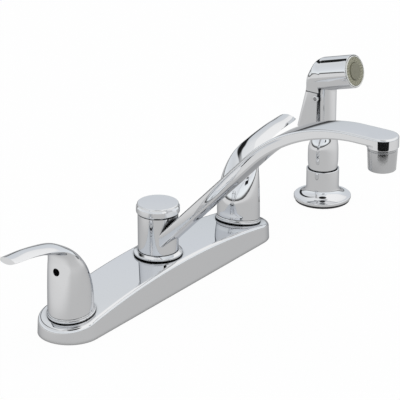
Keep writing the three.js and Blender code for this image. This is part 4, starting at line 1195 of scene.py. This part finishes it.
def build_trigger():
    shape = SprayShape()
    top = shape.shoulder - 0.4
    trigger = trigger_skin("faucet_spray_trigger", top, 0, 1.2, 0, 0.3)
    carved(trigger, trigger_skin("cut_hollow", top, TRIGGER_WALL, -12, 1, 0))
    ears = []
    for sign in SIDES.values():
        start = (TRIGGER_HALF - TRIGGER_WALL) * sign
        outline = filleted([(0, 0), (2.6, 0), (2.6, 1.8, 0.3), (0, 1.8)])
        turn = Matrix.Rotation(sign * math.pi / 2, 4, "Y")
        place = Matrix.Translation((start, PIN_Y, PIN_Z)) @ turn
        ears.append(moved(revolved("ear", outline, 48), place))
    joined(trigger, *ears)
    carved(trigger, cylinder("cut_pin", PIN_RADIUS, (-11, PIN_Y, PIN_Z), (11, PIN_Y, PIN_Z), 32))
    moved(trigger, shape.place)
    chromed(trigger, "trigger_body")


def build_spray_face():
    nozzle = SprayShape().nozzle
    back = GAP - 5
    rings = {
        "bezel": ("white_plastic", 128, [(11.4, back), (12, back), (12, 0.9, 0.25), (11.4, 0.9, 0.25)]),
        "centre": ("grey_plastic", 96, [(0, back), (6.7, back), (6.7, 1.3, 0.4), (0, 1.3)]),
        "face": ("grey_rubber", 128, [(7, back), (11.1, back), (11.1, 0.4, 0.2), (7, 0.4, 0.2)]),
    }
    for piece, (slot, sides, corners) in rings.items():
        is_ring = corners[0][0] > 0
        outline = filleted(corners, closed=is_ring)
        turned = moved(revolved(f"faucet_spray_{piece}", outline, sides, is_ring), nozzle)
        finished(turned, finish_for(slot), "spray", [f"spray_{piece}"])
    grown(
        "faucet_spray_studs",
        kept("node_groups", "Rings of Studs", studs_tree),
        "spray",
        "grey_plastic",
        nozzle @ Matrix.Translation((0, 0, 0.35)),
        Jets=bpy.context.scene.faucet_spray.jets,
        Inner_Radius=7.9 / METRE,
        Ring_Step=1.15 / METRE,
        Stud_Radius=0.36 / METRE,
        Stud_Height=0.4 / METRE,
    )


# ---- Pieces inside and below: finishes, a spring and threads ----


def build_plunger_spring():
    """The spring behind the plunger, built at one length; nothing here shortens it as the plunger goes
    in.
    """
    front, back, radius, wire, travel = -5.6, 2.8, 2.6, 0.28, 2
    below_nozzle = 40.3
    shape = SprayShape()
    spray_x = shape.place.translation.x
    middle = Matrix.Translation((spray_x, front + wire, shape.height - below_nozzle))
    spring = grown(
        "faucet_plunger_spring",
        kept("node_groups", "Coiled Wire", coil_tree),
        "spray",
        "steel",
        middle @ Matrix.Rotation(-math.pi / 2, 4, "X"),
        Turns=5.0,
        Radius=radius / METRE,
        Height=(back - front - 2 * wire) / METRE,
        Wire_Radius=wire / METRE,
        Sides=12,
    )
    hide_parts("plunger_spring")
    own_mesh(spring)


def build_threads():
    """Ridges on the threaded shanks below the deck."""
    spray, spacing = SprayShape().place.translation, PlateShape().spacing
    shanks = {
        "left": (-spacing, 0, 10.2, 50, "brass"),
        "right": (spacing, 0, 10.2, 50, "brass"),
        "holder": (spray.x, spray.y, SHANK_RADIUS, SHANK_DEPTH, "chrome"),
    }
    for name, (x, y, radius, depth, slot) in shanks.items():
        start, end, pitch = 1 - depth, -4, 1.4
        grown(
            f"faucet_thread_{name}",
            kept("node_groups", "Coiled Wire", coil_tree),
            "faucet_base",
            slot,
            Matrix.Translation((x, y, start)),
            Turns=(end - start) / pitch,
            Radius=(radius - 0.1) / METRE,
            Height=(end - start) / METRE,
            Wire_Radius=0.32 / METRE,
            Sides=6,
        )


def dress_inner_pieces():
    """Gives the CAD pieces that nothing replaces their finishes."""
    slots = {row["node"]: row["material_slot"] for row in frame["record"]["subparts"]}
    for node, obj in frame["nodes"].items():
        if obj.hide_render:
            continue
        obj.data.materials.clear()
        obj.data.materials.append(finish_for(slots[node]))


# ---- Studio ----

WHITE = (1, 1, 1, 1)
GAP_NORMAL = (0.6, -0.6, 0.53)  # the dark gap is a band round this direction
BEHIND_GAP = (0.5, 0.866, 0)
OVERHEAD = (-0.303, -0.22, 0.927)  # middle of the dark patch above
BEHIND_TABLE = (-0.8, 0.6, 0)
CARD_FACING = (-0.813, -0.582, 0)
CARD_DISTANCE, CARD_HALF_WIDTH, CARD_HALF_HEIGHT = 60, 46, 23
SPOUT_HEAD = (0, -187, 141)
CAMERA_TARGET = (27.57, -17.61, 59.36)
CAMERA_ELEVATION, CAMERA_DISTANCE = 22.44, 1744.4  # degrees and millimetres


def build_world():
    """Pale panels, a dark gap, patch and horizon in reflections; plain white for the camera."""
    studio = bpy.context.scene.faucet_studio
    world = bpy.data.worlds.new("Studio")
    bpy.context.scene.world = world
    world.use_nodes = True
    tree = world.node_tree
    tree.nodes.clear()
    place = tree.nodes.new("ShaderNodeTexCoord").outputs["Generated"]
    side, sky = studio.side, studio.sky
    height = along(tree, place, (0, 0, 1))
    panels = tinted(
        tree,
        height,
        [
            (0.0, side, side, side), (0.12, 0.94, 0.98, 1.0), (0.36, 0.81, 0.84, 0.88),
            (0.6, 0.75, 0.775, 0.8), (1.0, 0.86, 0.87, 0.88),
        ],
    )
    across = along(tree, place, GAP_NORMAL)
    white = counted(
        tree, "MULTIPLY", eased(tree, across, 0.4, 0.55), eased(tree, height, 0.3, 0.48, 0.0, sky)
    )
    panels = wired(tree, "ShaderNodeVectorMath", panels, white, operation="MAXIMUM").outputs[0]
    distance = counted(tree, "ABSOLUTE", across)
    gap = eased(tree, distance, 0.05, 0.1, 1.0, 0.0)
    behind = along(tree, place, BEHIND_GAP)
    gap = counted(tree, "MULTIPLY", gap, eased(tree, behind, -0.1, 0.2))
    gap = counted(tree, "MULTIPLY", gap, eased(tree, height, 0.7, 0.92, 1.0, 0.2))
    right = eased(tree, across, -0.3, -0.05, 0.94, 1.0)
    overhead = eased(tree, along(tree, place, OVERHEAD), 0.955, 0.975)
    horizon = eased(tree, height, 0.035, 0.09, 0.85, 0.0)
    dark = counted(tree, "MAXIMUM", counted(tree, "MAXIMUM", gap, overhead), horizon)
    bright = counted(tree, "MULTIPLY_ADD", dark, studio.gap - 1, 1.0)
    shown = dimmed(tree, panels, counted(tree, "MULTIPLY", bright, right))
    lit = wired(tree, "ShaderNodeBackground", shown)
    plain = wired(tree, "ShaderNodeBackground", WHITE)
    rays = tree.nodes.new("ShaderNodeLightPath").outputs["Is Camera Ray"]
    mix = wired(tree, "ShaderNodeMixShader", rays, lit.outputs[0], plain.outputs[0])
    wired(tree, "ShaderNodeOutputWorld", mix.outputs[0])


def build_floor():
    """A table that looks white, and in the chrome shows a painted reflection: a grey glow, dimmer near
    the faucet.
    """
    studio = bpy.context.scene.faucet_studio
    half, level = 4000, -0.4
    corners = [(x * half, y * half, level) for x, y in ((-1, -1), (1, -1), (1, 1), (-1, 1))]
    floor = mesh_from("studio_floor", corners, [[0, 1, 2, 3]])
    material, tree, shader = plain_finish("White Floor", (0.9, 0.9, 0.9), 0.9, 0.0)
    place = tree.nodes.new("ShaderNodeTexCoord").outputs["Object"]
    away = wired(tree, "ShaderNodeVectorMath", place, operation="LENGTH").outputs[1]
    # Painted reflection: the table's glow in reflections is dimmer near the faucet and brighter behind
    # it.
    bright = eased(tree, away, 0.15, 0.4, studio.table, studio.table + 0.18)
    behind = eased(tree, along(tree, place, BEHIND_TABLE), 0.1, 0.17, 0.0, 0.16)
    bright = counted(tree, "MINIMUM", counted(tree, "ADD", bright, behind), studio.table + 0.2)
    seen = wired(tree, "ShaderNodeEmission", WHITE, bright)
    glow = wired(tree, "ShaderNodeEmission", WHITE, 1.0)
    rays = tree.nodes.new("ShaderNodeLightPath").outputs
    whiter = counted(tree, "MULTIPLY", rays["Is Camera Ray"], 0.96)
    plain = wired(tree, "ShaderNodeMixShader", whiter, shader.outputs[0], glow.outputs[0])
    mix = wired(tree, "ShaderNodeMixShader", rays["Is Glossy Ray"], plain.outputs[0], seen.outputs[0])
    tree.links.new(mix.outputs[0], tree.nodes["Material Output"].inputs["Surface"])
    floor.data.materials.append(material)


def build_card():
    """A small black card in front of the spout's head, which only reflections show."""
    away = Vector(CARD_FACING).normalized()
    centre = Vector(SPOUT_HEAD) + CARD_DISTANCE * away
    across = away.cross(Vector((0, 0, 1))).normalized() * CARD_HALF_WIDTH
    up = Vector((0, 0, CARD_HALF_HEIGHT))
    points = [centre - across - up, centre + across - up, centre + across + up, centre - across + up]
    card = mesh_from("studio_card", points, [[0, 1, 2, 3]])
    material, tree, shader = plain_finish("Black Card", (0.004, 0.004, 0.004), 1, 0.0)
    clear = tree.nodes.new("ShaderNodeBsdfTransparent").outputs[0]
    rays = tree.nodes.new("ShaderNodeLightPath").outputs["Is Glossy Ray"]
    mix = wired(tree, "ShaderNodeMixShader", rays, clear, shader.outputs[0])
    tree.links.new(mix.outputs[0], tree.nodes["Material Output"].inputs["Surface"])
    card.data.materials.append(material)


def build_camera():
    """The photo's place and lens, as fitted."""
    studio = bpy.context.scene.faucet_studio
    azimuth, elevation = studio.camera_azimuth, math.radians(CAMERA_ELEVATION)
    back = Vector(
        (
            math.sin(azimuth) * math.cos(elevation),
            -math.cos(azimuth) * math.cos(elevation),
            math.sin(elevation),
        )
    )
    data = bpy.data.cameras.new("Camera")
    data.lens = studio.lens
    data.sensor_width = 36
    camera = linked("Camera", data)
    camera.location = (Vector(CAMERA_TARGET) + back * CAMERA_DISTANCE) / METRE
    camera.rotation_euler = (-back).to_track_quat("-Z", "Y").to_euler()
    data.clip_start, data.clip_end = 0.05, 50
    bpy.context.scene.camera = camera


def build_lamps():
    """One soft lamp above, which no reflection shows."""
    data = bpy.data.lights.new("Overhead", "AREA")
    data.energy = 6
    data.size = 1.2
    lamp = linked("Overhead", data)
    lamp.location = (0.3, -0.3, 1.8)
    lamp.visible_glossy = False


def set_view():
    """Shows colours about as they are written."""
    bpy.context.scene.view_settings.view_transform = "Standard"


# ---- Operators and panel ----


class BuildOperator:
    """Shared shape of the operators: each runs the functions in its steps."""

    bl_options = {"REGISTER", "UNDO"}
    steps = ()

    def execute(self, context):
        for step in self.steps:
            step()
        return {"FINISHED"}


class FAUCET_OT_plate(BuildOperator, bpy.types.Operator):
    """Build the arched deck plate"""

    bl_idname = "faucet.plate"
    bl_label = "Deck Plate"
    steps = (build_plate,)


class FAUCET_OT_handles(BuildOperator, bpy.types.Operator):
    """Build the two lever handles, their rings and set screws"""

    bl_idname = "faucet.handles"
    bl_label = "Handles"
    steps = (build_handles, build_handle_rings, build_set_screws)


class FAUCET_OT_spout(BuildOperator, bpy.types.Operator):
    """Build the hub's trim, the cap, the spout and its aerator"""

    bl_idname = "faucet.spout"
    bl_label = "Spout"
    steps = (build_hub_trim, build_cap, build_spout, build_aerator)


class FAUCET_OT_spray(BuildOperator, bpy.types.Operator):
    """Build the side spray, its trigger, face and holder"""

    bl_idname = "faucet.spray"
    bl_label = "Side Spray"
    steps = (build_spray_holder, build_spray_body, build_trigger, build_spray_face)


class FAUCET_OT_inner(BuildOperator, bpy.types.Operator):
    """Finish the pieces inside and below the deck, with a spring and threads"""

    bl_idname = "faucet.inner"
    bl_label = "Inner Pieces"
    steps = (build_plunger_spring, dress_inner_pieces, build_threads)


class FAUCET_OT_studio(BuildOperator, bpy.types.Operator):
    """Build the world, the floor, the card, the lamp, the camera and the view"""

    bl_idname = "faucet.studio"
    bl_label = "Studio"
    steps = (build_world, build_floor, build_card, build_lamps, build_camera, set_view)


SETTINGS = {
    "faucet_plate": PlateSettings,
    "faucet_handles": HandleSettings,
    "faucet_spout": SpoutSettings,
    "faucet_spray": SpraySettings,
    "faucet_finish": FinishSettings,
    "faucet_studio": StudioSettings,
}
OPERATORS = (
    FAUCET_OT_plate,
    FAUCET_OT_handles,
    FAUCET_OT_spout,
    FAUCET_OT_spray,
    FAUCET_OT_inner,
    FAUCET_OT_studio,
)


class FAUCET_PT_panel(bpy.types.Panel):
    """The faucet's sizes and its build buttons"""

    bl_idname = "FAUCET_PT_panel"
    bl_label = "Kitchen Faucet"
    bl_space_type = "VIEW_3D"
    bl_region_type = "UI"
    bl_category = "Faucet"

    def draw(self, context):
        for name, group in SETTINGS.items():
            box = self.layout.box()
            for field in group.__annotations__:
                box.prop(getattr(context.scene, name), field)
        for operator in OPERATORS:
            self.layout.operator(operator.bl_idname)


CLASSES = (*SETTINGS.values(), *OPERATORS, FAUCET_PT_panel)


def register():
    for cls in CLASSES:
        bpy.utils.register_class(cls)
    for name, group in SETTINGS.items():
        setattr(bpy.types.Scene, name, PointerProperty(type=group))


def unregister():
    for name in SETTINGS:
        delattr(bpy.types.Scene, name)
    for cls in reversed(CLASSES):
        bpy.utils.unregister_class(cls)


def main():
    register()
    for operator in OPERATORS:
        group, name = operator.bl_idname.split(".")
        getattr(getattr(bpy.ops, group), name)()
    bpy.context.view_layer.update()


if __name__ == "__main__":
    main()
